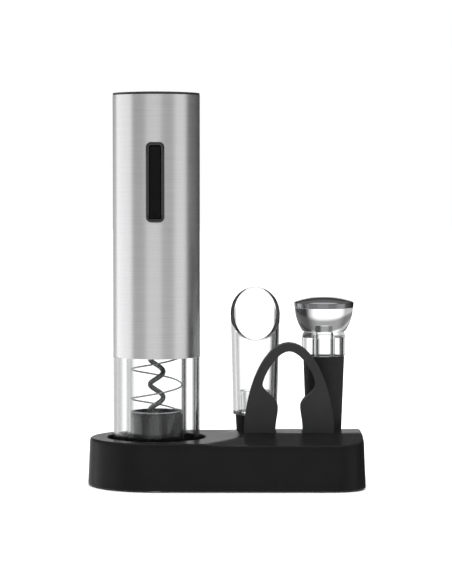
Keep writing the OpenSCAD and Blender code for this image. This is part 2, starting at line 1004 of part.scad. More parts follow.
module chassis_half(side) {
    low = motor_z;
    high = holder_z;
    at_opener()
        difference() {
            union() {
                ring_tube(frame_r, frame_r - chassis_wall, low, high);
                for (z = [low + chassis_low_rib, high - chassis_high_rib]) {
                    disc(frame_r - chassis_wall + place_fit, z, z + chassis_rib_t);
                }
                for (s = [-1, 1]) {
                    translate([s * chassis_screw_x, 0, chassis_screw_z])
                        cube([chassis_lug_w, chassis_lug_t, chassis_lug_h], center = true);
                }
            }
            disc(motor_r + place_fit, low - cut, high + cut);
            translate([-tube_r, side > 0 ? -2 * tube_r : 0, low - cut])
                cube([2 * tube_r, 2 * tube_r, high - low + 2 * cut]);
            three_around()
                rotate([0, 0, 60])
                    translate([box_screw_orbit, 0, 0])
                        disc(small_head_r + place_fit, low - cut, low + small_head_h + place_fit);
            for (s = [-1, 1]) {
                translate([s * chassis_screw_x, side > 0 ? -cut : cut, chassis_screw_z])
                    rotate([side > 0 ? -90 : 90, 0, 0])
                        cylinder(r = chassis_screw_r, h = chassis_lug_t, $fn = small_fn);
            }
            translate([-board_w, -tube_r, button_z - button_flange_h / 2 - 1])
                cube([2 * board_w, tube_r - flat_y, button_h]);
        }
}

module chassis_front() {
    color([0.22, 0.22, 0.23])
        chassis_half(-1);
}

module chassis_back() {
    color([0.25, 0.25, 0.26])
        chassis_half(1);
}

module chassis_screws() {
    color([0.6, 0.6, 0.62])
        at_opener()
            for (s = [-1, 1]) {
                translate([s * chassis_screw_x, -chassis_lug_t / 2, chassis_screw_z])
                    rotate([-90, 0, 0])
                        screw(chassis_screw_r, chassis_lug_t - cut,
                            chassis_screw_head_r, chassis_screw_head_h);
            }
}

module cell_places() {
    for (x = [-1, 1], y = [-1, 1]) {
        translate([x * cell_off, y * cell_off, 0])
            children();
    }
}

module battery_holder() {
    slot_near = cap_skirt_r + slide_fit - lug_root;
    slot_far = cap_skirt_r + slide_fit + lug_reach;
    flat_top_z = button_z + button_flange_h / 2 + 2;
    color([0.16, 0.16, 0.17])
        at_opener()
            difference() {
                disc(frame_r, holder_z, holder_top_z);
                cell_places()
                    disc(cell_r + cell_gap, holder_floor_z, holder_top_z + cut);
                disc(slot_near + lug_root, cap_inner_z - contact_t - lug_play, holder_top_z + cut);
                three_lugs(lug_deg, slot_near, slot_far,
                    lug_z - lug_play, holder_top_z + cut, cap_turn_deg);
                three_lugs(lug_deg + cap_turn_deg + lug_play_deg, slot_near, slot_far,
                    lug_z - lug_play, lug_z + lug_h + lug_play, cap_turn_deg / 2);
                translate([-tube_r, -2 * tube_r, holder_z - cut])
                    cube([2 * tube_r, 2 * tube_r - flat_y, flat_top_z - holder_z]);
            }
}

// Three sectors of a ring, each spanning deg about an angle of turn
module three_lugs(deg, near, far, low, high, turn) {
    three_around()
        rotate([0, 0, lug_start_deg + turn - deg / 2])
            rotate_extrude(angle = deg, $fn = round_fn)
                translate([near, low])
                    square([far - near, high - low]);
}

module battery_springs() {
    pad_z = holder_floor_z + contact_t;
    low = pad_z + cell_spring_wire;
    high = cell_z - cell_spring_wire;
    steps = cell_spring_turns * 14;
    color([0.8, 0.8, 0.8])
        at_opener() {
            for (s = [-1, 1]) {
                translate([s * cell_off, s * cell_off, 0])
                    coil_tube([
                        for (i = [0:steps])
                            let (
                                t = i / steps,
                                a = 360 * cell_spring_turns * t,
                                r = cell_spring_r - cell_spring_narrowing * t
                            )
                            [[r * cos(a), r * sin(a), low + (high - low) * t], a, 3, cell_spring_wire]
                    ], 6);
            }
            cell_places()
                disc(cell_pad_r, holder_floor_z, pad_z);
            for (s = [-1, 1]) {
                translate([s * cell_off, -s * cell_off, 0])
                    disc(cell_minus_r, pad_z, cell_z - cell_nub_h);
            }
        }
}

// Neighbouring cells stand opposite ways up
module batteries() {
    color([0.2, 0.35, 0.3])
        at_opener()
            for (x = [-1, 1], y = [-1, 1]) {
                translate([x * cell_off, y * cell_off, 0]) {
                    disc(cell_r, cell_z, cell_z + cell_l);
                    if (x * y > 0) {
                        disc(cell_plus_r, cell_z + cell_l, cell_top_z);
                    } else {
                        disc(cell_plus_r, cell_z - cell_nub_h, cell_z);
                    }
                }
            }
}

module top_cap() {
    inner_r = cap_skirt_r - cap_skirt_t;
    color([0.1, 0.1, 0.1])
        at_opener() {
            rotate_extrude($fn = round_fn)
                polygon(concat(
                    [[0, cap_z], [tube_r, cap_z], [tube_r, cap_z + cap_h / 2]],
                    bezier_points([
                        [tube_r - cap_edge, cap_z + cap_h / 2 + cap_edge],
                        [tube_r * 0.7, cap_z + cap_h], [tube_r * 0.3, cap_z + cap_h], [0, cap_z + cap_h]
                    ], 8)
                ));
            ring_tube(cap_skirt_r, inner_r, cap_inner_z, cap_z);
            disc(inner_r, cap_inner_z, cap_inner_z + cap_plate_t);
            three_lugs(lug_deg - lug_play_deg, cap_skirt_r - lug_root, cap_skirt_r + lug_reach,
                lug_z, lug_z + lug_h, 0);
        }
}

module cap_contacts() {
    color([0.8, 0.8, 0.8])
        at_opener()
            for (s = [-1, 1]) {
                translate([0, s * cell_off, cap_inner_z - contact_t / 2])
                    cube([2 * cell_off + contact_w, contact_w, contact_t], center = true);
            }
}

module switch_board() {
    color([0.1, 0.35, 0.2])
        at_opener()
            translate([-board_w / 2, -flat_y - board_t, button_z - board_l / 2])
                cube([board_w, board_t, board_l]);
}

module tact_switches() {
    face = flat_y + board_t;
    color([0.15, 0.15, 0.15])
        at_opener()
            for (s = [-1, 1]) {
                translate([0, -face, button_z + s * switch_pitch / 2])
                    rotate([90, 0, 0]) {
                        translate([0, 0, switch_t / 2])
                            cube([switch_w, switch_w, switch_t], center = true);
                        cylinder(r = plunger_r, h = switch_t + plunger_h, $fn = small_fn);
                    }
            }
}

// A frame that fills the tube's window, with a flange behind the tube's wall
module button_frame() {
    hole_w = button_w - 2 * button_rim;
    hole_h = button_h - 2 * button_rim;
    flange_y = sqrt(pow(tube_in_r, 2) - pow(button_flange_w / 2, 2)) - place_fit;
    color([0.06, 0.06, 0.06])
        at_opener()
            difference() {
                union() {
                    front_slab(button_w - 2 * place_fit, button_h - 2 * place_fit,
                        button_corner_r - place_fit, frame_back_y, frame_front_y);
                    front_slab(button_flange_w, button_flange_h, button_corner_r, frame_back_y, flange_y);
                }
                front_slab(hole_w, hole_h, button_corner_r - button_rim, frame_back_y - cut,
                    frame_front_y + cut);
                translate([0, -pivot_y, button_z])
                    rotate([0, 90, 0])
                        cylinder(r = pivot_r + run_fit, h = hole_w + 2 * pivot_l + 2 * place_fit,
                            center = true, $fn = small_fn);
            }
}

module rocker_button() {
    w = button_w - 2 * button_rim - rocker_gap;
    h = button_h - 2 * button_rim - 2 * rocker_gap;
    edge_r = button_corner_r - button_rim - rocker_gap / 2;
    color([0.09, 0.09, 0.09])
        at_opener() {
            front_slab(w, h, edge_r, rocker_back_y, rocker_front_y);
            translate([0, -pivot_y, button_z])
                rotate([0, 90, 0])
                    cylinder(r = pivot_r, h = w + 2 * pivot_l, center = true, $fn = small_fn);
        }
}

// ---------- Foil cutter ----------

// Half of the outline runs down the outside, round the leg's foot and up the inside
module cutter_outline() {
    top = cutter_h;
    half = cutter_w / 2;
    pocket_half = half - 10.6;
    bulge = cutter_gap_half - 1.45;
    inner_top = top - cutter_band;
    pocket_z = inner_top * 0.593;
    bulge_z = inner_top * 0.332;
    outer = bezier_points([[0, top], [half * 0.58, top], [half - 0.4, top * 0.46], [half, 0.3]], 14);
    inner = concat(
        bezier_points([
            [0, inner_top], [pocket_half * 0.45, inner_top],
            [pocket_half * 0.95, inner_top * 0.717], [pocket_half, pocket_z]
        ], 10),
        bezier_points([
            [pocket_half, pocket_z], [pocket_half, inner_top * 0.48],
            [bulge + 1.5, inner_top * 0.46], [bulge, bulge_z]
        ], 10),
        bezier_points([
            [bulge, bulge_z], [bulge - 0.4, inner_top * 0.24],
            [cutter_gap_half, inner_top * 0.15], [cutter_gap_half, 0]
        ], 5)
    );
    low = floor_z - top_z;
    leg = [[half, low], [cutter_gap_half, low]];
    right = concat(outer, leg, backwards(inner));
    polygon(concat(right, mirrored(right)));
}

module cutter_wheel_places() {
    for (x = [-1, 1], y = [-1, 1]) {
        translate([x * wheel_x, y * wheel_y, 0])
            children();
    }
}

module cutter_body() {
    color([0.23, 0.23, 0.24])
        at_cutter()
            difference() {
                translate([0, cutter_t / 2, top_z])
                    rotate([90, 0, 0])
                        linear_extrude(cutter_t)
                            cutter_outline();
                disc(neck_r, floor_z - cut, floor_z + neck_recess_h);
                cutter_wheel_places() {
                    disc(wheel_r + slide_fit, wheel_z - slide_fit, wheel_z + wheel_t + slide_fit);
                    disc(wheel_pin_r, floor_z - cut, floor_z + neck_recess_h);
                }
            }
}

module cutter_wheel(x, y) {
    color([0.75, 0.76, 0.78])
        at_cutter()
            translate([x * wheel_x, y * wheel_y, wheel_z])
                rotate_extrude($fn = round_fn)
                    polygon([
                        [wheel_pin_r + run_fit, 0],
                        [wheel_r - wheel_t, 0],
                        [wheel_r, wheel_edge_h],
                        [wheel_r, wheel_t - wheel_edge_h],
                        [wheel_r - wheel_t, wheel_t],
                        [wheel_pin_r + run_fit, wheel_t]
                    ]);
}

module cutter_pins() {
    color([0.7, 0.7, 0.72])
        at_cutter()
            cutter_wheel_places()
                disc(wheel_pin_r, floor_z + 1, floor_z + neck_recess_h);
}

// ---------- Pourer ----------

// Radius of a pocket that a tapering bung of given top radius and top height stands in
function pocket_r(high_r, high) =
    bung_low_r + (high_r - bung_low_r) * (top_z - floor_z) / (high - floor_z) + slide_fit;

module bung(low_r, high_r, high, bore_r) {
    difference() {
        translate([0, 0, floor_z])
            cylinder(r1 = low_r, r2 = high_r, h = high - floor_z, $fn = round_fn);
        disc(bore_r, floor_z - cut, high + cut);
    }
}

// A flaring tube whose mouth is cut off at a slant, low side to the front
module pourer_spout() {
    body_h = pourer_top_z - pourer_z;
    high_r = pourer_d / 2;
    slant = atan(pourer_mouth_drop / pourer_d);
    color([0.9, 0.92, 0.93, 0.35])
        at_pourer() {
            difference() {
                translate([0, 0, pourer_z])
                    cylinder(r1 = pourer_low_r, r2 = high_r, h = body_h, $fn = round_fn);
                translate([0, 0, pourer_z])
                    cylinder(r1 = pourer_low_r - pourer_wall, r2 = high_r - pourer_wall,
                        h = body_h, $fn = round_fn);
                translate([0, high_r, pourer_top_z])
                    rotate([slant, 0, 0])
                        translate([-pourer_d, -3 * pourer_d, 0])
                            cube([2 * pourer_d, 4 * pourer_d, pourer_d * 2]);
            }
            ring_tube(pourer_flange_r, pourer_bore_r, pourer_flange_z, pourer_z);
        }
}

// The air tube that stands inside the spout and runs down through the bung
module pourer_insert() {
    color([0.9, 0.92, 0.93, 0.35])
        at_pourer()
            rotate_extrude($fn = round_fn)
                polygon([
                    [insert_r - insert_wall, pourer_z],
                    [insert_r, pourer_z],
                    [insert_r + insert_flare, pourer_z + insert_h],
                    [insert_r + insert_flare - insert_wall, pourer_z + insert_h]
                ]);
}

module pourer_bung() {
    color([0.1, 0.1, 0.1])
        at_pourer()
            bung(bung_low_r, pourer_bung_r, pourer_flange_z, pourer_bore_r);
}

// ---------- Vacuum stopper ----------

module stopper_cap() {
    r = stopper_cap_d / 2;
    rim_z = head_top_z + stopper_rim_h;
    color([0.75, 0.76, 0.78])
        at_stopper()
            rotate_extrude($fn = round_fn)
                polygon(concat(
                    [
                        [0, head_top_z],
                        [r - cap_low_edge, head_top_z],
                        [r, head_top_z + cap_low_edge],
                        [r, rim_z - cap_high_edge]
                    ],
                    bezier_points([
                        [r - cap_high_edge, rim_z], [r * 0.62, stopper_top_z],
                        [r * 0.3, stopper_top_z], [0, stopper_top_z]
                    ], 10)
                ));
}

// A clear mushroom-shaped head that is pulled up to pump
module stopper_head() {
    color([0.9, 0.92, 0.93, 0.35])
        at_stopper()
            difference() {
                rotate_extrude($fn = round_fn)
                    polygon(concat(
                        [[0, head_z], [head_low_r, head_z]],
                        bezier_points([
                            [head_low_r + head_gap, head_z], [head_high_r * 0.9, head_z + head_h * 0.25],
                            [head_high_r, head_z + head_h * 0.55], [head_high_r, head_top_z]
                        ], 10),
                        [[0, head_top_z]]
                    ));
                disc(rod_r, head_z - cut, head_z + rod_in_head);
            }
}

module stopper_rod() {
    color([0.88, 0.9, 0.91, 0.4])
        at_stopper()
            disc(rod_r, rod_low_z, head_z + rod_in_head);
}

module stopper_seal() {
    color([0.2, 0.2, 0.2])
        at_stopper()
            disc(bung_bore_r - run_fit, rod_low_z - seal_h, rod_low_z);
}

module stopper_collar() {
    color([0.9, 0.92, 0.93, 0.35])
        at_stopper()
            difference() {
                rotate_extrude($fn = round_fn)
                    polygon([
                        [collar_bore_r, collar_z],
                        [collar_r - collar_edge, collar_z],
                        [collar_r, collar_top_z - collar_bevel],
                        [collar_r - collar_top_in, collar_top_z],
                        [collar_bore_r, collar_top_z]
                    ]);
                ring_tube(collar_r - collar_wall, collar_sleeve_r, collar_z - cut, collar_groove_z);
            }
}

module stopper_bung() {
    color([0.1, 0.1, 0.1])
        at_stopper()
            difference() {
                bung(bung_low_r, stopper_bung_r, collar_z, bung_vent_r);
                disc(bung_bore_r, rod_low_z - seal_h - pump_margin, collar_z + cut);
            }
}

// ---------- Parts shown ----------

base_shell();
base_plate();
base_feet();
base_screws();
steel_tube();
clear_sleeve();
guide_tube();
guide_screws();
neck_ring();
ring_spring();
gearbox_housing();
ring_gear();
output_bush();
motor_plate();
gearbox_screws();
output_carrier();
planet(1, out_gear_z);  // output_planet_1
planet(2, out_gear_z);  // output_planet_2
planet(3, out_gear_z);  // output_planet_3
input_carrier();
planet(1, in_gear_z);  // input_planet_1
planet(2, in_gear_z);  // input_planet_2
planet(3, in_gear_z);  // input_planet_3
motor_can();
motor_rotor();
motor_pinion();
motor_screws();
chassis_front();
chassis_back();
chassis_screws();
worm_chuck();
worm();
battery_holder();
battery_springs();
batteries();
top_cap();
cap_contacts();
switch_board();
tact_switches();
button_frame();
rocker_button();
cutter_body();
cutter_wheel(-1, -1);  // cutter_wheel_1
cutter_wheel(-1, 1);  // cutter_wheel_2
cutter_wheel(1, -1);  // cutter_wheel_3
cutter_wheel(1, 1);  // cutter_wheel_4
cutter_pins();
pourer_spout();
pourer_insert();
pourer_bung();
stopper_cap();
stopper_head();
stopper_rod();
stopper_seal();
stopper_collar();
stopper_bung();
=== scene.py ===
"""Shown pieces of a battery wine opener on its base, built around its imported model."""

import json
import math

import bmesh
import bpy
import numpy as np
from bpy.props import FloatProperty, FloatVectorProperty, PointerProperty
from bpy.types import Operator, Panel, PropertyGroup
from mathutils import Matrix, Vector
from mathutils.geometry import delaunay_2d_cdt


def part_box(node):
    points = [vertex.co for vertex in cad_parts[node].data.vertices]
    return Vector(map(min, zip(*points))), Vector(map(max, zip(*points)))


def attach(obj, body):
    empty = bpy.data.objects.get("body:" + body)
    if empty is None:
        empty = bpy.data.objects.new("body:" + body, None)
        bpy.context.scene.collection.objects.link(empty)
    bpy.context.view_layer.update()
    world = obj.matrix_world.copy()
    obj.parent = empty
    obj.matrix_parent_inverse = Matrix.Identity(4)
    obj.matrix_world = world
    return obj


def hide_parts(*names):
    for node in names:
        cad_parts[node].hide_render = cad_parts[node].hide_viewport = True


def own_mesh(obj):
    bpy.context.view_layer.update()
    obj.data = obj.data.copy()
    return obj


bl_info = {
    "name": "Wine Opener Looks",
    "version": (1, 0, 0),
    "blender": (4, 5, 0),
    "location": "View3D > Sidebar > Wine Opener",
    "description": "Builds the shown pieces and finishes of a battery wine opener",
    "category": "Add Mesh",
}

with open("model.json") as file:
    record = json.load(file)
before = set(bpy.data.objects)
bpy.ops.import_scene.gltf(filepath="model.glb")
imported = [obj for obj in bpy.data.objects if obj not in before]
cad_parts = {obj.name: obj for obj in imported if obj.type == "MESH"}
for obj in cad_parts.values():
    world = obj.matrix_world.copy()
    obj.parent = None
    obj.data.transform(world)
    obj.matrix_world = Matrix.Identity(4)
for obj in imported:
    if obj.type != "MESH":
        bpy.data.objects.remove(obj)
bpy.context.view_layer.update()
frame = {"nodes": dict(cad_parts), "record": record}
cad_nodes = frame["nodes"]

MM = 0.001
TURN = 2 * math.pi
# Height at which the worm's wire faces the front, and the angle at which the spring's wire ends
WORM_FRONT_Z = 65.05 * MM
SPRING_START = math.radians(41)


# ---------- Settings that a user can change ----------


def size(name, description, millimetres):
    """A length property whose default is given in millimetres."""
    return FloatProperty(
        name=name, description=description, default=millimetres * MM, min=0, unit="LENGTH", precision=5
    )


def colour(name, description, value):
    """A linear colour property."""
    return FloatVectorProperty(
        name=name, description=description, default=value, size=3, min=0, max=1, subtype="COLOR"
    )


class BaseLook(PropertyGroup):
    """Sizes and colour of the moulded base."""

    corner: size("Corner Radius", "Radius of the two corners of the square end", 18)
    lean: size("Wall Lean", "How far the walls lean in over the height of the round end", 1.1)
    wall: size("Wall Thickness", "Thickness of the outer wall", 2.4)
    deck_rise: size("Deck Rise", "How far the accessory deck stands above the round end", 3)
    facet_drop: size("Facet Drop", "How far the front facet's foot lies below the round end", 1.4)
    deck_front: FloatProperty(
        name="Deck Front", description="Front edge of the flat deck along Y", default=-7.8 * MM, unit="LENGTH"
    )
    deck_back: size("Deck Back", "Back edge of the flat deck along Y", 14)
    ramp_start: FloatProperty(
        name="Ramp Start", description="Where the ramp up to the deck starts", default=-6 * MM, unit="LENGTH"
    )
    ramp_length: size("Ramp Length", "Length of the ramp up to the deck", 20)
    ramp_sweep: size("Ramp Sweep", "How far the ramp swings towards the round end at the front", 9)
    blend: size("Blend", "Height over which two slopes of the top run into each other", 0.45)
    edge_round: size("Edge Rounding", "Radius of the base's top edge", 1.5)
    foot_round: size("Foot Rounding", "Radius of the base's bottom edge", 0.5)
    socket_gap: size("Socket Gap", "Radial gap between the opener and its socket", 3.2)
    socket_lip: size("Socket Lip", "Radius of the rounding at the socket's mouth", 1)
    pocket_gap: size("Pocket Gap", "Gap between an accessory and its pocket", 0.35)
    pocket_lip: size("Pocket Lip", "Radius of the rounding at a pocket's mouth", 0.35)
    bung_low: size("Bung Low Radius", "Radius of the bungs where they stand on the pocket's floor", 9.6)
    leg_gap: size("Leg Gap", "Half of the space between the foil cutter's legs", 7.95)
    plastic: colour("Plastic", "Colour of the base's plastic", (0.0095, 0.0095, 0.0097))


class OpenerLook(PropertyGroup):
    """Sizes and colours of the opener."""

    sleeve_wall: size("Sleeve Wall", "Wall of the clear sleeve", 2.2)
    guide_bore: size("Guide Bore", "Bore of the clear guide tube", 31.5)
    ring_bore: size("Ring Bore", "Bore of the neck ring", 25.5)
    spring_wire: size("Spring Wire", "Diameter of the spring's wire", 0.9)
    spring_pitch: size("Spring Pitch", "Rise of one open turn of the spring", 17.1)
    worm_radius: size("Worm Radius", "Radius of the worm's centre line", 3.75)
    worm_wire: size("Worm Wire", "Diameter of the worm's wire", 2.9)
    worm_pitch: size("Worm Pitch", "Rise of one turn of the worm", 14.75)
    frame_rim: size("Button Rim", "Width of the rim around the rocker", 1.9)
    frame_corner: size("Button Corner", "Radius of the button frame's corners", 2.9)
    steel: colour("Steel", "Colour of the brushed steel", (0.9, 0.9, 0.91))
    gloss: colour("Gloss Black", "Colour of the glossy black plastic", (0.006, 0.006, 0.007))
    wire: colour("Wire", "Colour of the spring's wire", (0.34, 0.34, 0.35))
    worm: colour("Worm", "Colour of the coated worm", (0.075, 0.075, 0.078))


class AccessoryLook(PropertyGroup):
    """Sizes and colours of the accessories."""

    cutter_round: size("Cutter Rounding", "Radius of the foil cutter's edges", 0.7)
    spout_wall: size("Spout Wall", "Wall of the pouring spout", 2.1)
    mouth_drop: size("Mouth Drop", "Drop of the spout's mouth from its back to its front", 29.6)
    flange: size("Flange", "Height of the spout's flange above its bung", 1.9)
    cap_rim: size("Cap Rim", "Height of the stopper cap's rim", 3.4)
    grey: colour("Cutter Grey", "Colour of the foil cutter's plastic", (0.026, 0.026, 0.027))
    rubber: colour("Rubber", "Colour of the bungs' rubber", (0.011, 0.011, 0.011))
    chrome: colour("Chrome", "Colour of the stopper's cap", (0.27, 0.27, 0.28))
    # Painted shade: this dark tint goes on the spout's lip where it is seen edge on, in place of the dark edge that
    # light through the clear plastic makes there.
    lip: colour("Spout Lip Painted Shade", "Tint of the spout's polished lip, which is seen edge on", (0.03, 0.03, 0.03))
    clear: colour("Clear Plastic", "Tint of the clear plastic", (0.985, 0.99, 0.99))


class StageLook(PropertyGroup):
    """Camera, floor and light."""

    camera_distance: size("Camera Distance", "Distance of the camera in front of the object", 1380)
    camera_height: size("Camera Height", "Height of the camera above the floor", 180)
    aim_height: size("Aim Height", "Height of the point that the camera looks at", 111)
    lens: FloatProperty(name="Lens", description="Focal length in millimetres", default=148, min=20)
    floor_size: size("Floor Size", "Length and width of the floor", 12000)
    paper: colour("Paper", "Colour of the floor", (0.93, 0.93, 0.925))
    top_light: FloatProperty(name="Top Light", description="Strength of the light overhead", default=4, min=0)


# ---------- Meshes ----------


def finished(name, mesh, body, material, nodes=(), crease=32):
    """A piece from a mesh: doubles merged, faces outwards, smooth up to the crease angle, riding on its body."""
    shape = bmesh.new()
    shape.from_mesh(mesh)
    bmesh.ops.remove_doubles(shape, verts=shape.verts, dist=1e-6)
    bmesh.ops.dissolve_degenerate(shape, edges=shape.edges, dist=1e-7)
    bmesh.ops.recalc_face_normals(shape, faces=shape.faces)
    shape.to_mesh(mesh)
    shape.free()
    mesh.shade_smooth()
    mesh.set_sharp_from_angle(angle=math.radians(crease))
    mesh.materials.clear()
    mesh.materials.append(material)
    mesh.name = name
    piece = bpy.data.objects.new(name, mesh)
    bpy.context.scene.collection.objects.link(piece)
    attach(piece, body)
    for node in nodes:
        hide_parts(node)
    return piece


def joined(parts):
    """One mesh from several lists of (points, faces)."""
    points, faces = [], []
    for part_points, part_faces in parts:
        start = len(points)
        points += part_points
        faces += [[start + i for i in face] for face in part_faces]
    mesh = bpy.data.meshes.new("shape")
    mesh.from_pydata(points, [], faces)
    return mesh


def loft(rings, closed=False, low_cap=False, high_cap=False):
    """Points and faces of a skin over closed rings that all have the same number of points."""
    count = len(rings[0])
    points = [point for ring in rings for point in ring]
    faces = []
    spans = len(rings) if closed else len(rings) - 1
    for i in range(spans):
        low, high = i * count, (i + 1) % len(rings) * count
        for j in range(count):
            k = (j + 1) % count
            faces.append([low + j, low + k, high + k, high + j])
    if low_cap:
        faces.append(list(range(count))[::-1])
    if high_cap:
        faces.append([(len(rings) - 1) * count + j for j in range(count)])
    return points, faces


def rounded(corners, steps=5):
    """A closed outline with each corner (x, y, radius) rounded, and held by a point on either side of it."""
    outline = []
    count = len(corners)
    for i, (x, y, radius) in enumerate(corners):
        here = Vector((x, y))
        before = Vector(corners[i - 1][:2]) - here
        after = Vector(corners[(i + 1) % count][:2]) - here
        if radius <= 0 or before.length < 1e-9 or after.length < 1e-9:
            outline.append(here)
            continue
        half = before.angle(after) / 2
        reach = min(radius / math.tan(half), before.length * 0.45, after.length * 0.45)
        if half > math.radians(89):
            outline.append(here)
            continue
        radius = reach * math.tan(half)
        before.normalize()
        after.normalize()
        middle = here + (before + after).normalized() * (radius / math.sin(half))
        start, end = here + before * reach, here + after * reach
        outline.append(start + before * radius * 0.15)
        swing = (start - middle).angle_signed(end - middle)
        for step in range(steps + 1):
            arm = (start - middle).copy()
            arm.rotate(Matrix.Rotation(-swing * step / steps, 2))
            outline.append(middle + arm)
        outline.append(end + after * radius * 0.15)
    return outline


def turned(outline, centre, sides=144):
    """Points and faces of an outline of (radius, height) turned round a vertical axis; radius 0 closes on the axis."""
    points, faces, rows = [], [], []
    for radius, height in outline:
        if radius < 1e-7:
            rows.append([len(points)] * sides)
            points.append((centre.x, centre.y, height))
            continue
        rows.append(list(range(len(points), len(points) + sides)))
        for j in range(sides):
            a = TURN * j / sides
            points.append((centre.x + radius * math.cos(a), centre.y + radius * math.sin(a), height))
    for i, low in enumerate(rows):
        high = rows[(i + 1) % len(rows)]
        for j in range(sides):
            k = (j + 1) % sides
            face = list(dict.fromkeys([low[j], low[k], high[k], high[j]]))
            if len(face) > 2:
                faces.append(face)
    return points, faces


def within(spots, loop):
    """True for each of the spots (x, y) that lies inside the loop."""
    inside = np.zeros(len(spots), bool)
    x, y = spots[:, 0], spots[:, 1]
    for (x1, y1), (x2, y2) in zip(loop, np.roll(loop, -1, axis=0)):
        if y1 != y2:
            crossed = (y1 > y) != (y2 > y)
            inside ^= crossed & (x < (x2 - x1) * (y - y1) / (y2 - y1) + x1)
    return inside


def filled(outer, holes, height, pitch):
    """A sheet between an outer loop and holes, all of (x, y), with a grid inside and heights from a rule.

    Returns its points, its faces and the point numbers of each loop, outer first.
    """
    loops = [np.array([p[:2] for p in loop]) for loop in [outer, *holes]]
    edges, starts = [], []
    for loop in loops:
        start = sum(len(done) for done in loops[: len(starts)])
        starts.append(start)
        edges += [(start + i, start + (i + 1) % len(loop)) for i in range(len(loop))]

    def kept(spots):
        keep = within(spots, loops[0])
        for hole in loops[1:]:
            keep &= ~within(spots, hole)
        return keep

    low, high = loops[0].min(axis=0), loops[0].max(axis=0)
    grid = np.array(
        [
            (x, y + (pitch / 2 if i % 2 else 0))
            for i, x in enumerate(np.arange(low[0] + pitch / 2, high[0], pitch))
            for y in np.arange(low[1] + pitch / 3, high[1], pitch)
        ]
    )
    plan = np.concatenate([*loops, grid[kept(grid)]])
    spots, _, faces, sources, _, _ = delaunay_2d_cdt([Vector(p) for p in plan], edges, [], 0, 1e-9)
    place = {source: now for now, made_of in enumerate(sources) for source in made_of}
    numbers = [[place[start + i] for i in range(len(loop))] for start, loop in zip(starts, loops)]
    flat = np.array([p[:] for p in spots])
    middles = np.array([flat[face].mean(axis=0) for face in faces])
    faces = [list(face) for face, keep in zip(faces, kept(middles)) if keep]
    return [(x, y, height(x, y)) for x, y in flat], faces, numbers


def middle_of(*nodes):
    """The point halfway between the corners of the box round these nodes, and the box's low and high corners."""
    boxes = [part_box(node) for node in nodes]
    low = Vector([min(box[0][i] for box in boxes) for i in range(3)])
    high = Vector([max(box[1][i] for box in boxes) for i in range(3)])
    return (low + high) / 2, low, high


def smooth_step(low, high, value):
    t = min(1, max(0, (value - low) / (high - low)))
    return t * t * (3 - 2 * t)


def soft_max(a, b, width):
    """The higher of two values, rounded over where they are closer than a width."""
    near = max(width - abs(a - b), 0) / width
    return max(a, b) + near * near * width / 4


def soft_min(a, b, width):
    return -soft_max(-a, -b, width)


# ---------- Finishes ----------


def add_node(tree, kind, settings=(), **values):
    """A node with its settings and its unlinked inputs set."""
    made = tree.nodes.new(kind)
    for name, value in dict(settings).items():
        setattr(made, name, value)
    for name, value in values.items():
        made.inputs[name.replace("_", " ")].default_value = value
    return made


def stretched(tree, scale):
    """The piece's own coordinates in metres, multiplied by a scale for each axis."""
    place = add_node(tree, "ShaderNodeTexCoord")
    mapping = add_node(tree, "ShaderNodeMapping", Scale=scale)
    tree.links.new(place.outputs["Object"], mapping.inputs["Vector"])
    return mapping.outputs["Vector"]


def grain(tree, scale, detail=3, roughness=0.55):
    """Noise over the piece, from 0 to 1."""
    noise = add_node(tree, "ShaderNodeTexNoise", Scale=1, Detail=detail, Roughness=roughness)
    tree.links.new(stretched(tree, scale), noise.inputs["Vector"])
    return noise.outputs["Fac"]


def spread(tree, value, low, high, socket, near=0.3, far=0.7):
    """Feeds a socket with a value's range near to far, turned into low to high."""
    ranged = add_node(tree, "ShaderNodeMapRange")
    for name, number in (("From Min", near), ("From Max", far), ("To Min", low), ("To Max", high)):
        ranged.inputs[name].default_value = number
    tree.links.new(value, ranged.inputs["Value"])
    tree.links.new(ranged.outputs["Result"], socket)


def tint(tree, value, shade, change, socket):
    """Feeds a colour socket with a shade that varies by a share of itself."""
    ramp = add_node(tree, "ShaderNodeValToRGB")
    low, high = ramp.color_ramp.elements
    low.position, high.position = 0.3, 0.7
    low.color = [*(channel * (1 - change) for channel in shade), 1]
    high.color = [*(min(1, channel * (1 + change)) for channel in shade), 1]
    tree.links.new(value, ramp.inputs["Fac"])
    tree.links.new(ramp.outputs["Color"], socket)


def relief(tree, value, depth, socket, strength=1.0):
    """Feeds a normal socket with a relief of that depth in metres."""
    bump = add_node(tree, "ShaderNodeBump", Strength=strength, Distance=depth)
    tree.links.new(value, bump.inputs["Height"])
    tree.links.new(bump.outputs["Normal"], socket)


def blank(name):
    """A new material, its node tree and its main shader."""
    material = bpy.data.materials.new(name)
    material.use_nodes = True
    return material, material.node_tree, material.node_tree.nodes["Principled BSDF"]


def moulded(name, shade, rough=(0.42, 0.52), pores=2600, depth=0.02, specular=0.5, coat=0.0):
    """Moulded plastic or rubber: a fine skin with small changes of shade and shine."""
    material, tree, shader = blank(name)
    shader.inputs["Specular IOR Level"].default_value = specular
    shader.inputs["Coat Weight"].default_value = coat
    shader.inputs["Coat Roughness"].default_value = 0.04
    tint(tree, grain(tree, [70] * 3), shade, 0.08, shader.inputs["Base Color"])
    spread(tree, grain(tree, [180] * 3, detail=4), *rough, shader.inputs["Roughness"])
    relief(tree, grain(tree, [pores] * 3, detail=2), depth * MM, shader.inputs["Normal"], 0.35)
    return material


def metal(name, shade, rough=(0.2, 0.32), lines=(900, 900, 900), depth=0.004):
    """Bright metal with fine marks along the axis that has the smallest scale."""
    material, tree, shader = blank(name)
    shader.inputs["Metallic"].default_value = 1
    tint(tree, grain(tree, [60] * 3), shade, 0.05, shader.inputs["Base Color"])
    marks = grain(tree, lines, detail=4)
    spread(tree, marks, *rough, shader.inputs["Roughness"])
    relief(tree, marks, depth * MM, shader.inputs["Normal"], 0.4)
    return material


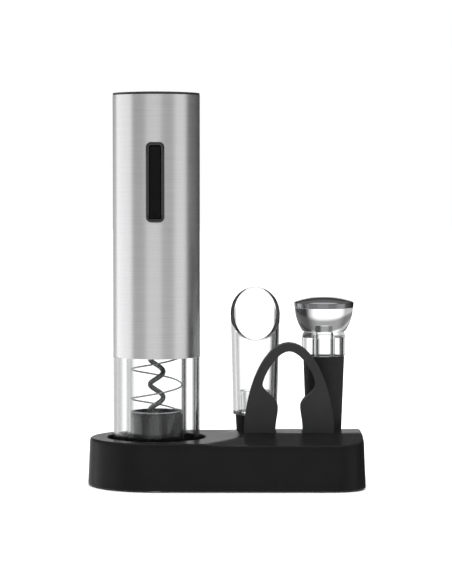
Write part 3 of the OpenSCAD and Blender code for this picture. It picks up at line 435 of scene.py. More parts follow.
def brushed(name, shade):
    """Steel brushed round its axis: streaks that follow the surface, and a highlight spread across them."""
    material, tree, shader = blank(name)
    shader.inputs["Metallic"].default_value = 1
    shader.inputs["Anisotropic"].default_value = 0.8
    shader.inputs["Anisotropic Rotation"].default_value = 0.25
    coarse = grain(tree, (22, 22, 2600), detail=3, roughness=0.7)
    fine = grain(tree, (70, 70, 9000), detail=2, roughness=0.8)
    both = add_node(tree, "ShaderNodeMath", {"operation": "ADD"})
    half = add_node(tree, "ShaderNodeMath", {"operation": "MULTIPLY"}, Value=0.5)
    tree.links.new(coarse, both.inputs[0])
    tree.links.new(fine, both.inputs[1])
    tree.links.new(both.outputs[0], half.inputs[0])
    half.inputs[1].default_value = 0.5
    streaks = half.outputs[0]
    tint(tree, streaks, shade, 0.09, shader.inputs["Base Color"])
    spread(tree, streaks, 0.28, 0.42, shader.inputs["Roughness"])
    relief(tree, streaks, 0.012 * MM, shader.inputs["Normal"], 0.3)
    facing = add_node(tree, "ShaderNodeNewGeometry")
    around = add_node(tree, "ShaderNodeVectorMath", {"operation": "CROSS_PRODUCT"})
    around.inputs[0].default_value = (0, 0, 1)
    tree.links.new(facing.outputs["Normal"], around.inputs[1])
    tree.links.new(around.outputs["Vector"], shader.inputs["Tangent"])
    return material


def clear(name, shade, rough=(0.0, 0.03), ior=1.46):
    """Clear plastic that lets lamps through, with faint smears and a slight unevenness."""
    material, tree, shader = blank(name)
    shader.inputs["Transmission Weight"].default_value = 1
    shader.inputs["IOR"].default_value = ior
    shader.inputs["Base Color"].default_value = [*shade, 1]
    spread(tree, grain(tree, (90, 90, 30), detail=4), *rough, shader.inputs["Roughness"])
    relief(tree, grain(tree, (60, 60, 20), detail=1), 0.02 * MM, shader.inputs["Normal"], 0.15)
    through = add_node(tree, "ShaderNodeBsdfTransparent", Color=(0.94, 0.95, 0.95, 1))
    ray = add_node(tree, "ShaderNodeLightPath")
    mix = add_node(tree, "ShaderNodeMixShader")
    tree.links.new(ray.outputs["Is Shadow Ray"], mix.inputs[0])
    tree.links.new(shader.outputs[0], mix.inputs[1])
    tree.links.new(through.outputs[0], mix.inputs[2])
    tree.links.new(mix.outputs[0], tree.nodes["Material Output"].inputs["Surface"])
    return material


def wound(name, shade):
    """Enamelled copper wire, wound in close turns along Z."""
    material, tree, shader = blank(name)
    shader.inputs["Metallic"].default_value = 1
    waves = add_node(tree, "ShaderNodeTexWave", {"bands_direction": "Z"}, Scale=1, Distortion=0.4, Detail=1)
    tree.links.new(stretched(tree, [900] * 3), waves.inputs["Vector"])
    tint(tree, waves.outputs["Fac"], shade, 0.3, shader.inputs["Base Color"])
    spread(tree, waves.outputs["Fac"], 0.2, 0.5, shader.inputs["Roughness"])
    relief(tree, waves.outputs["Fac"], 0.1 * MM, shader.inputs["Normal"], 0.6)
    return material


def printed_board(name, shade):
    """A circuit board: a green mask over square-cornered tracks."""
    material, tree, shader = blank(name)
    cells = add_node(tree, "ShaderNodeTexVoronoi", {"distance": "CHEBYCHEV"}, Scale=1, Randomness=0.7)
    tree.links.new(stretched(tree, [700] * 3), cells.inputs["Vector"])
    tint(tree, cells.outputs["Distance"], shade, 0.35, shader.inputs["Base Color"])
    spread(tree, cells.outputs["Distance"], 0.25, 0.4, shader.inputs["Roughness"])
    relief(tree, cells.outputs["Distance"], 0.04 * MM, shader.inputs["Normal"], 0.4)
    return material


finishes = {}


def finish_for(slot):
    """The material of one of the record's slots, made once."""
    if slot not in finishes:
        scene = bpy.context.scene
        base, opener, extra = scene.base_look, scene.opener_look, scene.accessory_look
        makers = {
            "base_black": lambda: moulded("base_black", base.plastic, rough=(0.2, 0.26), specular=0.06),
            "plain_black": lambda: moulded("plain_black", (0.014, 0.014, 0.015), rough=(0.5, 0.6)),
            "foot_rubber": lambda: moulded("foot_rubber", (0.018, 0.018, 0.018), rough=(0.75, 0.85), pores=1800),
            "zinc": lambda: metal("zinc", (0.62, 0.63, 0.66)),
            "brushed_steel": lambda: brushed("brushed_steel", opener.steel),
            "clear_plastic": lambda: clear("clear_plastic", extra.clear),
            "clear_tube": lambda: clear("clear_tube", extra.clear, ior=1.3),
            "clear_thin": lambda: clear("clear_thin", extra.clear, ior=1.14),
            "gloss_black": lambda: moulded(
                "gloss_black", opener.gloss, rough=(0.03, 0.05), pores=300, depth=0.002, specular=0.7
            ),
            "button_black": lambda: moulded(
                "button_black", (0.003, 0.003, 0.003), rough=(0.2, 0.26), pores=900, depth=0.006, specular=0.1
            ),
            "spring_steel": lambda: metal("spring_steel", opener.wire, rough=(0.22, 0.3)),
            "gear_plastic": lambda: moulded("gear_plastic", (0.62, 0.61, 0.57), rough=(0.4, 0.5), pores=1500),
            "bronze": lambda: metal("bronze", (0.56, 0.38, 0.17), rough=(0.25, 0.42)),
            "plated_steel": lambda: metal("plated_steel", (0.58, 0.58, 0.6), lines=(1200, 1200, 90)),
            "copper_winding": lambda: wound("copper_winding", (0.72, 0.32, 0.12)),
            "coated_worm": lambda: moulded("coated_worm", opener.worm, rough=(0.2, 0.3), pores=700, coat=0.35),
            "cell_wrap": lambda: moulded(
                "cell_wrap", (0.05, 0.12, 0.2), rough=(0.18, 0.28), pores=500, depth=0.005, coat=0.4
            ),
            "cap_black": lambda: moulded("cap_black", (0.014, 0.014, 0.0145), rough=(0.32, 0.4)),
            "board_green": lambda: printed_board("board_green", (0.01, 0.09, 0.03)),
            "cutter_grey": lambda: moulded("cutter_grey", extra.grey, rough=(0.5, 0.6), pores=3000, specular=0.25),
            "wheel_steel": lambda: metal("wheel_steel", (0.7, 0.71, 0.73), rough=(0.12, 0.22)),
            "bung_rubber": lambda: moulded("bung_rubber", extra.rubber, rough=(0.6, 0.72), pores=2000, specular=0.35),
            "cap_chrome": lambda: metal("cap_chrome", extra.chrome, rough=(0.03, 0.07), depth=0.001),
        }
        finishes[slot] = makers[slot]()
    return finishes[slot]


# ---------- Base ----------


class BaseShape:
    """The base's outline and the heights of its top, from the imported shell's box and the look's sizes."""

    def __init__(self, look):
        self.look = look
        _, self.low, self.high = middle_of("base_shell")
        self.round_radius = (self.high.y - self.low.y) / 2
        self.round_x = self.low.x + self.round_radius
        self.round_top = self.high.z - look.deck_rise
        self.slope_front = (look.deck_rise + look.facet_drop) / (look.deck_front - self.low.y)
        self.slope_back = look.deck_rise / (self.high.y - look.deck_back)
        self.slope_ramp = look.deck_rise / look.ramp_length

    def outline(self, inset):
        """The outline, counter-clockwise, pulled in by an inset."""
        look = self.look
        corner_x = self.high.x - look.corner
        corner_y = self.high.y - look.corner
        loop = []
        for step in range(57):
            a = math.radians(90 + 180 * step / 56)
            radius = self.round_radius - inset
            loop.append((self.round_x + radius * math.cos(a), radius * math.sin(a)))
        for middle_y, start in ((-corner_y, 270), (corner_y, 0)):
            if start == 270:
                loop += [(x, self.low.y + inset) for x in np.linspace(self.round_x, corner_x, 40)[1:-1]]
            else:
                loop += [(self.high.x - inset, y) for y in np.linspace(-corner_y, corner_y, 18)[1:-1]]
            for step in range(19):
                a = math.radians(start + 90 * step / 18)
                radius = look.corner - inset
                loop.append((corner_x + radius * math.cos(a), middle_y + radius * math.sin(a)))
        loop += [(x, self.high.y - inset) for x in np.linspace(corner_x, self.round_x, 40)[1:-1]]
        return loop

    def top(self, x, y):
        """Height of the top: the round end, the deck and its slopes, run into each other by a swept ramp."""
        look = self.look
        front = self.high.z + (y - look.deck_front) * self.slope_front
        back = self.high.z - (y - look.deck_back) * self.slope_back
        deck = soft_min(soft_min(self.high.z, front, look.blend), back, look.blend)
        forward = smooth_step(look.deck_front, self.low.y, y)
        start = look.ramp_start - look.ramp_sweep * forward
        end = start + look.ramp_length * (1 - 0.45 * forward)
        share = smooth_step(start, end, x)
        low = max(self.round_top, deck - look.deck_rise) if y > 0 else self.round_top
        return low + (deck - low) * share


def pocket(loop_at, round_radius, top_height, floor, steps=5):
    """Loops of a pocket from its floor up to its rounded mouth. loop_at gives the outline grown by a distance."""
    rings = [[(x, y, floor) for x, y in loop_at(0)]]
    mouth = loop_at(round_radius)
    heights = [top_height(x, y) for x, y in mouth]
    lift = [round_radius * (1 - math.cos(math.pi / 2 * step / steps)) for step in range(steps + 1)]
    side = [round_radius * math.sin(math.pi / 2 * step / steps) for step in range(steps + 1)]
    shallow = loop_at(0)
    rings.append([(x, y, height - round_radius * 1.4) for (x, y), height in zip(shallow, heights)])
    for i in range(steps + 1):
        grown = loop_at(round_radius - side[steps - i])
        rings.append([(x, y, height - lift[steps - i]) for (x, y), height in zip(grown, heights)])
    return rings


def circle(x, y, radius, sides=96):
    return [(x + radius * math.cos(TURN * i / sides), y + radius * math.sin(TURN * i / sides)) for i in range(sides)]


def box_loop(low_x, high_x, low_y, high_y, grow, corner=0.6 * MM, per_side=6):
    """A rounded rectangle grown by a distance, with the same number of points whatever the growth."""
    loop = []
    radius = corner + grow
    for cx, cy, start in (
        (high_x - corner, high_y - corner, 0),
        (low_x + corner, high_y - corner, 90),
        (low_x + corner, low_y + corner, 180),
        (high_x - corner, low_y + corner, 270),
    ):
        for step in range(per_side):
            a = math.radians(start + 90 * step / (per_side - 1))
            loop.append((cx + radius * math.cos(a), cy + radius * math.sin(a)))
    return loop


def base_pockets(look):
    """The outline of each pocket, as a function of how far it is grown, and the radius of its mouth's rounding."""
    opener, opener_low, opener_high = middle_of("clear_sleeve")
    socket = (opener_high.x - opener_low.x) / 2 + look.socket_gap
    floor = opener_low.z
    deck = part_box("base_shell")[1].z
    found = [(lambda grow: circle(opener.x, opener.y, socket + grow, 128), look.socket_lip)]
    for node in ("pourer_bung", "stopper_bung"):
        middle, low, high = middle_of(node)
        widest = (high.x - low.x) / 2
        share = (deck - floor) / (high.z - floor)
        radius = look.bung_low + (widest - look.bung_low) * share + look.pocket_gap
        found.append((lambda grow, m=middle, r=radius: circle(m.x, m.y, r + grow), look.pocket_lip))
    middle, low, high = middle_of("cutter_body")
    gap = look.pocket_gap
    for near, far in ((look.leg_gap - gap, high.x - middle.x + gap), (low.x - middle.x - gap, gap - look.leg_gap)):
        x1, x2 = middle.x + near, middle.x + far
        found.append(
            (
                lambda grow, x1=x1, x2=x2: box_loop(x1, x2, low.y - gap, high.y + gap, grow),
                look.pocket_lip,
            )
        )
    return found, floor


def base_shell():
    look = bpy.context.scene.base_look
    shape = BaseShape(look)
    height = shape.high.z - look.deck_rise - shape.low.z
    plate_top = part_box("base_plate")[1].z

    def leaning(z):
        return look.lean * (z - shape.low.z) / height

    rings = []
    for step in range(5):
        a = math.pi / 2 * step / 4
        z = shape.low.z + look.foot_round * (1 - math.cos(a))
        inset = leaning(z) + look.foot_round * (1 - math.sin(a))
        rings.append([(x, y, z) for x, y in shape.outline(inset)])
    edge = look.edge_round
    crest = shape.outline(leaning(shape.round_top) + edge)
    tops = [shape.top(x, y) for x, y in crest]
    walls = [0.12, 0.5, 0.88, 0.97]
    for share in walls:
        inset_at = [leaning(shape.low.z + (top - edge - shape.low.z) * share) for top in tops]
        loops = {round(i, 9): shape.outline(i) for i in inset_at}
        rings.append(
            [
                (
                    *loops[round(inset, 9)][i],
                    shape.low.z + look.foot_round + (top - edge - shape.low.z - look.foot_round) * share,
                )
                for i, (top, inset) in enumerate(zip(tops, inset_at))
            ]
        )
    for step in range(7):
        a = math.pi / 2 * step / 6
        inset = leaning(shape.round_top) + edge * (1 - math.cos(a))
        rings.append([(x, y, top - edge * (1 - math.sin(a))) for (x, y), top in zip(shape.outline(inset), tops)])

    found, floor = base_pockets(look)
    pockets = [pocket(loop_at, lip, shape.top, floor) for loop_at, lip in found]
    top_points, top_faces, _ = filled(crest, [pocket_rings[-1] for pocket_rings in pockets], shape.top, 1.1 * MM)
    parts = [loft(rings), (top_points, top_faces)]
    parts += [loft(pocket_rings, low_cap=True) for pocket_rings in pockets]

    recess = shape.outline(look.wall + leaning(shape.low.z))
    under = [
        [(x, y, shape.low.z) for x, y in shape.outline(look.foot_round)],
        [(x, y, shape.low.z) for x, y in recess],
        [(x, y, plate_top) for x, y in recess],
    ]
    parts.append(loft(under, high_cap=True))
    finished("Base_shell", joined(parts), "base", finish_for("base_black"), ["base_shell"], crease=40)


# ---------- Shapes shared by the opener and the accessories ----------


def turned_piece(name, outline, centre, body, slot, nodes, sides=144, steps=5, crease=32, finish=None):
    """A turned piece from corners (radius, height, rounding)."""
    mesh = joined([turned(rounded(outline, steps), centre, sides)])
    return finished(name, mesh, body, finish_for(finish or slot), nodes, crease)


def radius_of(low, high):
    return (high.x - low.x) / 2


def radii_at(node, height, reach=0.6 * MM):
    """The smallest and largest distance from its own axis of a turned node's points near a height."""
    middle, _, _ = middle_of(node)
    spans = [
        math.hypot(v.co.x - middle.x, v.co.y - middle.y)
        for v in cad_nodes[node].data.vertices
        if abs(v.co.z - height) < reach
    ]
    return min(spans), max(spans)


# ---------- Opener ----------


def upright(low, high, radius, grow=0.0, per_corner=8, per_side=8):
    """A tall rounded rectangle in (x, z) between two corners, grown by a distance, with points along its sides."""
    loop = []
    corner = max(radius + grow, 0.05 * MM)
    left, right = low.x - grow + corner, high.x + grow - corner
    bottom, top = low.z - grow + corner, high.z + grow - corner
    for cx, cz, start in ((right, top, 0), (left, top, 90), (left, bottom, 180), (right, bottom, 270)):
        for step in range(per_corner):
            a = math.radians(start + 90 * step / (per_corner - 1))
            loop.append((cx + corner * math.cos(a), cz + corner * math.sin(a)))
        if start == 90:
            loop += [(left - corner, top + (bottom - top) * i / per_side) for i in range(1, per_side)]
        if start == 270:
            loop += [(right + corner, bottom + (top - bottom) * i / per_side) for i in range(1, per_side)]
    return loop


def front_rim(node):
    """The low and high corners of a node's points that stand furthest to the front."""
    points = [v.co for v in cad_nodes[node].data.vertices]
    front = min(p.y for p in points)
    rim = [p for p in points if p.y < front + 0.05 * MM]
    low = Vector([min(p[i] for p in rim) for i in range(3)])
    high = Vector([max(p[i] for p in rim) for i in range(3)])
    return low, high


def applied(piece):
    """Makes the piece's modifiers part of its mesh, and removes them."""
    bpy.context.view_layer.update()
    shape = piece.evaluated_get(bpy.context.evaluated_depsgraph_get())
    mesh = bpy.data.meshes.new_from_object(shape)
    piece.modifiers.clear()
    piece.data = mesh


def bevelled(piece, width, segments, angle=50):
    """Rounds the piece's sharp edges, and makes that part of its mesh."""
    bevel = piece.modifiers.new("Rounding", "BEVEL")
    bevel.width = width
    bevel.segments = segments
    bevel.limit_method = "ANGLE"
    bevel.angle_limit = math.radians(angle)
    applied(piece)


def steel_tube():
    """The brushed tube, with the hole that the button's frame stands in."""
    look = bpy.context.scene.opener_look
    middle, low, high = middle_of("steel_tube")
    radius = radius_of(low, high)
    inner, _ = radii_at("steel_tube", high.z)
    rim_low, rim_high = front_rim("button_frame")
    offset = Vector((middle.x, 0, 0))
    hole = [
        (math.asin(x / radius) * radius, z)
        for x, z in upright(rim_low - offset, rim_high - offset, look.frame_corner, 0.1 * MM)
    ]
    half = math.pi * radius
    columns, rows = 160, 90
    across = [-half + 2 * half * i / columns for i in range(columns)]
    up = [low.z + (high.z - low.z) * i / rows for i in range(rows)]
    loop = [(x, low.z) for x in across] + [(half, z) for z in up]
    loop += [(-x, high.z) for x in across] + [(-half, low.z + high.z - z) for z in up]
    points, faces, (edge, cut) = filled(loop, [hole], lambda x, z: 0, 2 * half / columns)

    def wrapped(distance):
        return [
            (middle.x + distance * math.sin(x / radius), middle.y - distance * math.cos(x / radius), z)
            for x, z, _ in points
        ]

    count = len(points)
    skins = faces + [[count + i for i in face[::-1]] for face in faces]
    for ring in (edge, cut):
        for now, after in zip(ring, ring[1:] + ring[:1]):
            if abs(points[now][0]) < half - 1e-9 or abs(points[after][0]) < half - 1e-9:
                skins.append([now, after, count + after, count + now])
    mesh = joined([(wrapped(radius) + wrapped(inner), skins)])
    piece = finished("Steel_tube", mesh, "opener", finish_for("brushed_steel"), ["steel_tube"])
    bevelled(piece, 0.15 * MM, 2)


def top_cap():
    """The battery cap: a low dome with a rolled edge over a skirt."""
    middle, low, high = middle_of("top_cap")
    radius = radius_of(low, high)
    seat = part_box("steel_tube")[1].z
    rise = high.z - seat
    skirt = 21.4 * MM
    wall = 1.8 * MM
    shares = (0.2, 0.4, 0.55, 0.7, 0.8, 0.88, 0.94)
    corners = [(0, high.z, 0)]
    corners += [(radius * share, high.z - rise * 0.4 * share**2.4, 0) for share in shares]
    corners += [
        (radius - 0.1 * MM, high.z - rise * 0.42, 0.5 * MM),
        (radius - 0.1 * MM, seat + 0.05 * MM, 0.15 * MM),
        (skirt, seat + 0.05 * MM, 0),
        (skirt, low.z, 0.2 * MM),
        (skirt - wall, low.z, 0.2 * MM),
        (skirt - wall, low.z + wall, 0),
        (0, low.z + wall, 0),
    ]
    turned_piece("Top_cap", corners, middle, "battery_cap", "cap_black", ["top_cap"])


def button():
    """The button's frame, with its flange behind the steel, and the rocker that it holds."""
    look = bpy.context.scene.opener_look
    rim_low, rim_high = front_rim("button_frame")
    _, flange_low, flange_high = middle_of("button_frame")
    front, back = flange_low.y, flange_high.y
    shoulder = front + 2.65 * MM
    spread_w = (flange_high.x - rim_high.x, flange_high.z - rim_high.z)

    def ring(inset, y):
        return [(x, y, z) for x, z in upright(rim_low, rim_high, look.frame_corner, -inset)]

    def flange(y):
        wide = Vector((spread_w[0], 0, spread_w[1]))
        return [(x, y, z) for x, z in upright(rim_low - wide, rim_high + wide, look.frame_corner)]

    rim = look.frame_rim
    rings = [flange(back), flange(shoulder), ring(0, shoulder), ring(0, front + 0.8 * MM)]
    rings += [
        ring(0.7 * MM * (1 - math.cos(a)), front + 0.7 * MM * (1 - math.sin(a)))
        for a in (math.pi / 2 * i / 5 for i in range(6))
    ]
    rings += [
        ring(rim * 0.62, front + 0.04 * MM),
        ring(rim * 0.8, front + 0.2 * MM),
        ring(rim, front + 0.7 * MM),
        ring(rim, back),
    ]
    mesh = joined([loft(rings, closed=True)])
    finished("Button_frame", mesh, "opener", finish_for("gloss_black"), ["button_frame"], crease=38)

    face_low, face_high = front_rim("rocker_button")
    _, rocker_low, rocker_high = middle_of("rocker_button")
    face_corner = max(look.frame_corner - rim, 0.4 * MM)

    def face(inset, depth):
        return [
            (x, rocker_low.y + depth, z) for x, z in upright(face_low, face_high, face_corner, -inset, 6, 14)
        ]

    thick = rocker_high.y - rocker_low.y
    rings = [face(0, thick), face(0, 0.5 * MM)]
    rings += [
        face(0.4 * MM * (1 - math.cos(a)), 0.4 * MM * (1 - math.sin(a))) for a in (math.pi / 2 * i / 4 for i in range(5))
    ]
    rings += [face(0.9 * MM, 0.02 * MM), face(1.5 * MM, 0.12 * MM), face(2.1 * MM, 0.18 * MM)]
    mesh = joined([loft(rings, low_cap=True, high_cap=True)])
    finished("Rocker_button", mesh, "rocker", finish_for("button_black"), ["rocker_button"], crease=38)


def clear_tubes():
    """The clear sleeve under the steel tube, and the clear guide for a bottle's neck inside it."""
    look = bpy.context.scene.opener_look
    middle, low, high = middle_of("clear_sleeve")
    radius = radius_of(low, high)
    inner = radius - look.sleeve_wall
    _, spigot = radii_at("clear_sleeve", high.z)
    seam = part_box("steel_tube")[0].z
    corners = [
        (inner, low.z, 0.3 * MM),
        (radius, low.z, 0.4 * MM),
        (radius, seam, 0.15 * MM),
        (spigot, seam, 0),
        (spigot, high.z, 0.2 * MM),
        (inner, high.z, 0.2 * MM),
    ]
    turned_piece("Clear_sleeve", corners, middle, "opener", "clear_plastic", ["clear_sleeve"], finish="clear_tube")

    middle, low, high = middle_of("guide_tube")
    bore = look.guide_bore / 2
    outer = radii_at("guide_tube", low.z)[1]
    mouth = radii_at("guide_tube", low.z)[0]
    flange = radius_of(low, high)
    flange_t, lip = 2 * MM, 3 * MM
    corners = [
        (mouth, low.z, 0.35 * MM),
        (outer, low.z, 0.35 * MM),
        (outer, high.z - flange_t, 0.4 * MM),
        (flange, high.z - flange_t, 0.2 * MM),
        (flange, high.z, 0.2 * MM),
        (bore, high.z, 0.2 * MM),
        (bore, low.z + lip, 0.2 * MM),
        (mouth, low.z + lip, 0.2 * MM),
    ]
    turned_piece("Guide_tube", corners, middle, "opener", "clear_plastic", ["guide_tube"], finish="clear_thin")


def neck_ring():
    """The glossy ring that a bottle's neck pushes up, with a groove under its rim."""
    look = bpy.context.scene.opener_look
    middle, low, high = middle_of("neck_ring")
    radius = radius_of(low, high)
    bore = look.ring_bore / 2
    seat = 1.4 * MM
    step = radius - look.spring_wire - 0.15 * MM
    groove = high.z - seat - 1.1 * MM
    corners = [
        (bore + 1 * MM, low.z, 0.2 * MM),
        (radius, low.z, 0.5 * MM),
        (radius, groove - 0.5 * MM, 0),
        (radius - 0.35 * MM, groove - 0.1 * MM, 0),
        (radius - 0.35 * MM, groove, 0),
        (radius, groove + 0.05 * MM, 0),
        (radius, high.z - seat, 0.15 * MM),
        (step, high.z - seat, 0.05 * MM),
        (step, high.z, 0.3 * MM),
        (bore, high.z, 0.3 * MM),
        (bore, low.z + 1 * MM, 0.2 * MM),
    ]
    turned_piece("Neck_ring", corners, middle, "neck_ring", "gloss_black", ["neck_ring"])


def coil_tree():
    """A node group for a coil of wire about Z: even turns between two flat end turns, and a point at its low end."""
    tree = bpy.data.node_groups.new("Coil", "GeometryNodeTree")
    face = tree.interface
    for name, kind in (
        ("Radius", "NodeSocketFloat"),
        ("Wire", "NodeSocketFloat"),
        ("Low", "NodeSocketFloat"),
        ("High", "NodeSocketFloat"),
        ("Turns", "NodeSocketFloat"),
        ("Phase", "NodeSocketFloat"),
        ("End Turns", "NodeSocketFloat"),
        ("End Rise", "NodeSocketFloat"),
        ("Point Share", "NodeSocketFloat"),
        ("Point Wire", "NodeSocketFloat"),
        ("Steps", "NodeSocketInt"),
        ("Finish", "NodeSocketMaterial"),
    ):
        face.new_socket(name, in_out="INPUT", socket_type=kind)
    face.new_socket("Geometry", in_out="OUTPUT", socket_type="NodeSocketGeometry")
    given = tree.nodes.new("NodeGroupInput").outputs
    link = tree.links.new

    def maths(operation, *values):
        made = add_node(tree, "ShaderNodeMath", {"operation": operation})
        for socket, value in zip(made.inputs, values):
            if isinstance(value, (int, float)):
                socket.default_value = value
            else:
                link(value, socket)
        return made.outputs[0]

    def ranged(value, near, far, low, high):
        made = add_node(tree, "ShaderNodeMapRange")
        for name, source in (("Value", value), ("From Min", near), ("From Max", far), ("To Min", low), ("To Max", high)):
            if isinstance(source, (int, float)):
                made.inputs[name].default_value = source
            else:
                link(source, made.inputs[name])
        return made.outputs["Result"]

    line = add_node(tree, "GeometryNodeCurvePrimitiveLine")
    points = add_node(tree, "GeometryNodeResampleCurve")
    link(line.outputs["Curve"], points.inputs["Curve"])
    link(given["Steps"], points.inputs["Count"])
    share = add_node(tree, "GeometryNodeSplineParameter").outputs["Factor"]
    all_turns = maths("ADD", given["Turns"], maths("MULTIPLY", given["End Turns"], 2))
    turn = maths("MULTIPLY", share, all_turns)
    angle = maths("ADD", maths("MULTIPLY", turn, TURN), given["Phase"])
    first = given["End Turns"]
    last = maths("ADD", given["Turns"], given["End Turns"])
    rise = maths("SUBTRACT", maths("SUBTRACT", given["High"], given["Low"]), maths("MULTIPLY", given["End Rise"], 2))
    climb = maths("ADD", ranged(turn, 0, maths("ADD", first, 1e-6), 0, given["End Rise"]), given["Low"])
    climb = maths("ADD", climb, ranged(turn, first, last, 0, rise))
    climb = maths("ADD", climb, ranged(turn, last, maths("ADD", all_turns, 1e-6), 0, given["End Rise"]))
    place = add_node(tree, "ShaderNodeCombineXYZ")
    link(maths("MULTIPLY", maths("COSINE", angle), given["Radius"]), place.inputs["X"])
    link(maths("MULTIPLY", maths("SINE", angle), given["Radius"]), place.inputs["Y"])
    link(climb, place.inputs["Z"])
    moved = add_node(tree, "GeometryNodeSetPosition")
    link(points.outputs["Curve"], moved.inputs["Geometry"])
    link(place.outputs["Vector"], moved.inputs["Position"])
    section = add_node(tree, "GeometryNodeCurvePrimitiveCircle", Resolution=14)
    link(maths("MULTIPLY", given["Wire"], 0.5), section.inputs["Radius"])
    skin = add_node(tree, "GeometryNodeCurveToMesh")
    skin.inputs["Fill Caps"].default_value = True
    link(moved.outputs["Geometry"], skin.inputs["Curve"])
    link(section.outputs["Curve"], skin.inputs["Profile Curve"])
    link(ranged(share, 0, maths("ADD", given["Point Share"], 1e-6), given["Point Wire"], 1), skin.inputs["Scale"])
    real = add_node(tree, "GeometryNodeRealizeInstances")
    finish = add_node(tree, "GeometryNodeSetMaterial")
    link(skin.outputs["Mesh"], real.inputs["Geometry"])
    link(real.outputs["Geometry"], finish.inputs["Geometry"])
    link(given["Finish"], finish.inputs["Material"])
    link(finish.outputs["Geometry"], tree.nodes.new("NodeGroupOutput").inputs[0])
    return tree


def made_by(tree, **values):
    """The plain mesh that a node group makes with these inputs."""
    carrier = bpy.data.objects.new("carrier", bpy.data.meshes.new("carrier"))
    bpy.context.scene.collection.objects.link(carrier)
    modifier = carrier.modifiers.new("Made", "NODES")
    modifier.node_group = tree
    names = {item.name: item.identifier for item in tree.interface.items_tree if item.in_out == "INPUT"}
    for name, value in values.items():
        modifier[names[name.replace("_", " ")]] = value
    bpy.context.view_layer.update()
    shape = carrier.evaluated_get(bpy.context.evaluated_depsgraph_get())
    mesh = bpy.data.meshes.new_from_object(shape)
    bpy.data.objects.remove(carrier)
    return mesh


def coil_about(centre, **values):
    mesh = made_by(coil_tree(), **values)
    mesh.transform(Matrix.Translation((centre.x, centre.y, 0)))
    return mesh


def spring_and_worm():
    """The spring that pushes the neck ring down, and the worm that turns inside it."""
    look = bpy.context.scene.opener_look
    middle, low, high = middle_of("ring_spring")
    wire = look.spring_wire
    rise = wire + 0.05 * MM
    mesh = coil_about(
        middle,
        Radius=radius_of(low, high) - wire / 2,
        Wire=wire,
        Low=low.z + wire / 2,
        High=high.z - wire / 2,
        Turns=(high.z - low.z - wire - 2 * rise) / look.spring_pitch,
        Phase=SPRING_START,
        End_Turns=1.0,
        End_Rise=rise,
        Point_Share=0.0,
        Point_Wire=1.0,
        Steps=360,
        Finish=finish_for("spring_steel"),
    )
    spring = finished("Ring_spring", mesh, "opener", finish_for("spring_steel"), ["ring_spring"])
    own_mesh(spring)

    _, low, high = middle_of("worm")
    tip, top = low.z, high.z - look.worm_wire / 2
    turns = (top - tip) / look.worm_pitch
    mesh = coil_about(
        middle,
        Radius=look.worm_radius,
        Wire=look.worm_wire,
        Low=tip,
        High=top,
        Turns=turns,
        Phase=TURN * (tip - WORM_FRONT_Z) / look.worm_pitch,
        End_Turns=0.0,
        End_Rise=0.0,
        Point_Share=0.45 / turns,
        Point_Wire=0.08,
        Steps=240,
        Finish=finish_for("coated_worm"),
    )
    finished("Worm", mesh, "worm_drive", finish_for("coated_worm"), ["worm"])


# ---------- Feet and screws ----------


def at_places_tree():
    """A node group that sets one turned part on each point of a cloud."""
    tree = bpy.data.node_groups.new("At places", "GeometryNodeTree")
    face = tree.interface
    for name, kind in (
        ("Part", "NodeSocketObject"),
        ("Places", "NodeSocketObject"),
        ("Turn", "NodeSocketFloat"),
        ("Finish", "NodeSocketMaterial"),
    ):
        face.new_socket(name, in_out="INPUT", socket_type=kind)
    face.new_socket("Geometry", in_out="OUTPUT", socket_type="NodeSocketGeometry")
    given = tree.nodes.new("NodeGroupInput").outputs
    link = tree.links.new
    part = add_node(tree, "GeometryNodeObjectInfo")
    places = add_node(tree, "GeometryNodeObjectInfo")
    link(given["Part"], part.inputs["Object"])
    link(given["Places"], places.inputs["Object"])
    turn = add_node(tree, "ShaderNodeCombineXYZ")
    step = add_node(tree, "GeometryNodeInputIndex")
    swing = add_node(tree, "ShaderNodeMath", {"operation": "MULTIPLY"})
    link(step.outputs[0], swing.inputs[0])
    link(given["Turn"], swing.inputs[1])
    link(swing.outputs[0], turn.inputs["Z"])
    each = add_node(tree, "GeometryNodeInstanceOnPoints")
    link(places.outputs["Geometry"], each.inputs["Points"])
    link(part.outputs["Geometry"], each.inputs["Instance"])
    link(turn.outputs[0], each.inputs["Rotation"])
    real = add_node(tree, "GeometryNodeRealizeInstances")
    finish = add_node(tree, "GeometryNodeSetMaterial")
    link(each.outputs["Instances"], real.inputs["Geometry"])
    link(real.outputs["Geometry"], finish.inputs["Geometry"])
    link(given["Finish"], finish.inputs["Material"])
    link(finish.outputs["Geometry"], tree.nodes.new("NodeGroupOutput").inputs[0])
    return tree


def solids_of(node):
    """The middle, low corner and high corner of each separate solid in a node."""
    shape = bmesh.new()
    shape.from_mesh(cad_nodes[node].data)
    bmesh.ops.remove_doubles(shape, verts=shape.verts, dist=1e-6)
    left, found = set(shape.verts), []
    while left:
        todo, group = [left.pop()], []
        while todo:
            vert = todo.pop()
            group.append(vert.co.copy())
            for edge in vert.link_edges:
                other = edge.other_vert(vert)
                if other in left:
                    left.remove(other)
                    todo.append(other)
        low = Vector([min(p[i] for p in group) for i in range(3)])
        high = Vector([max(p[i] for p in group) for i in range(3)])
        found.append(((low + high) / 2, low, high))
    shape.free()
    return found


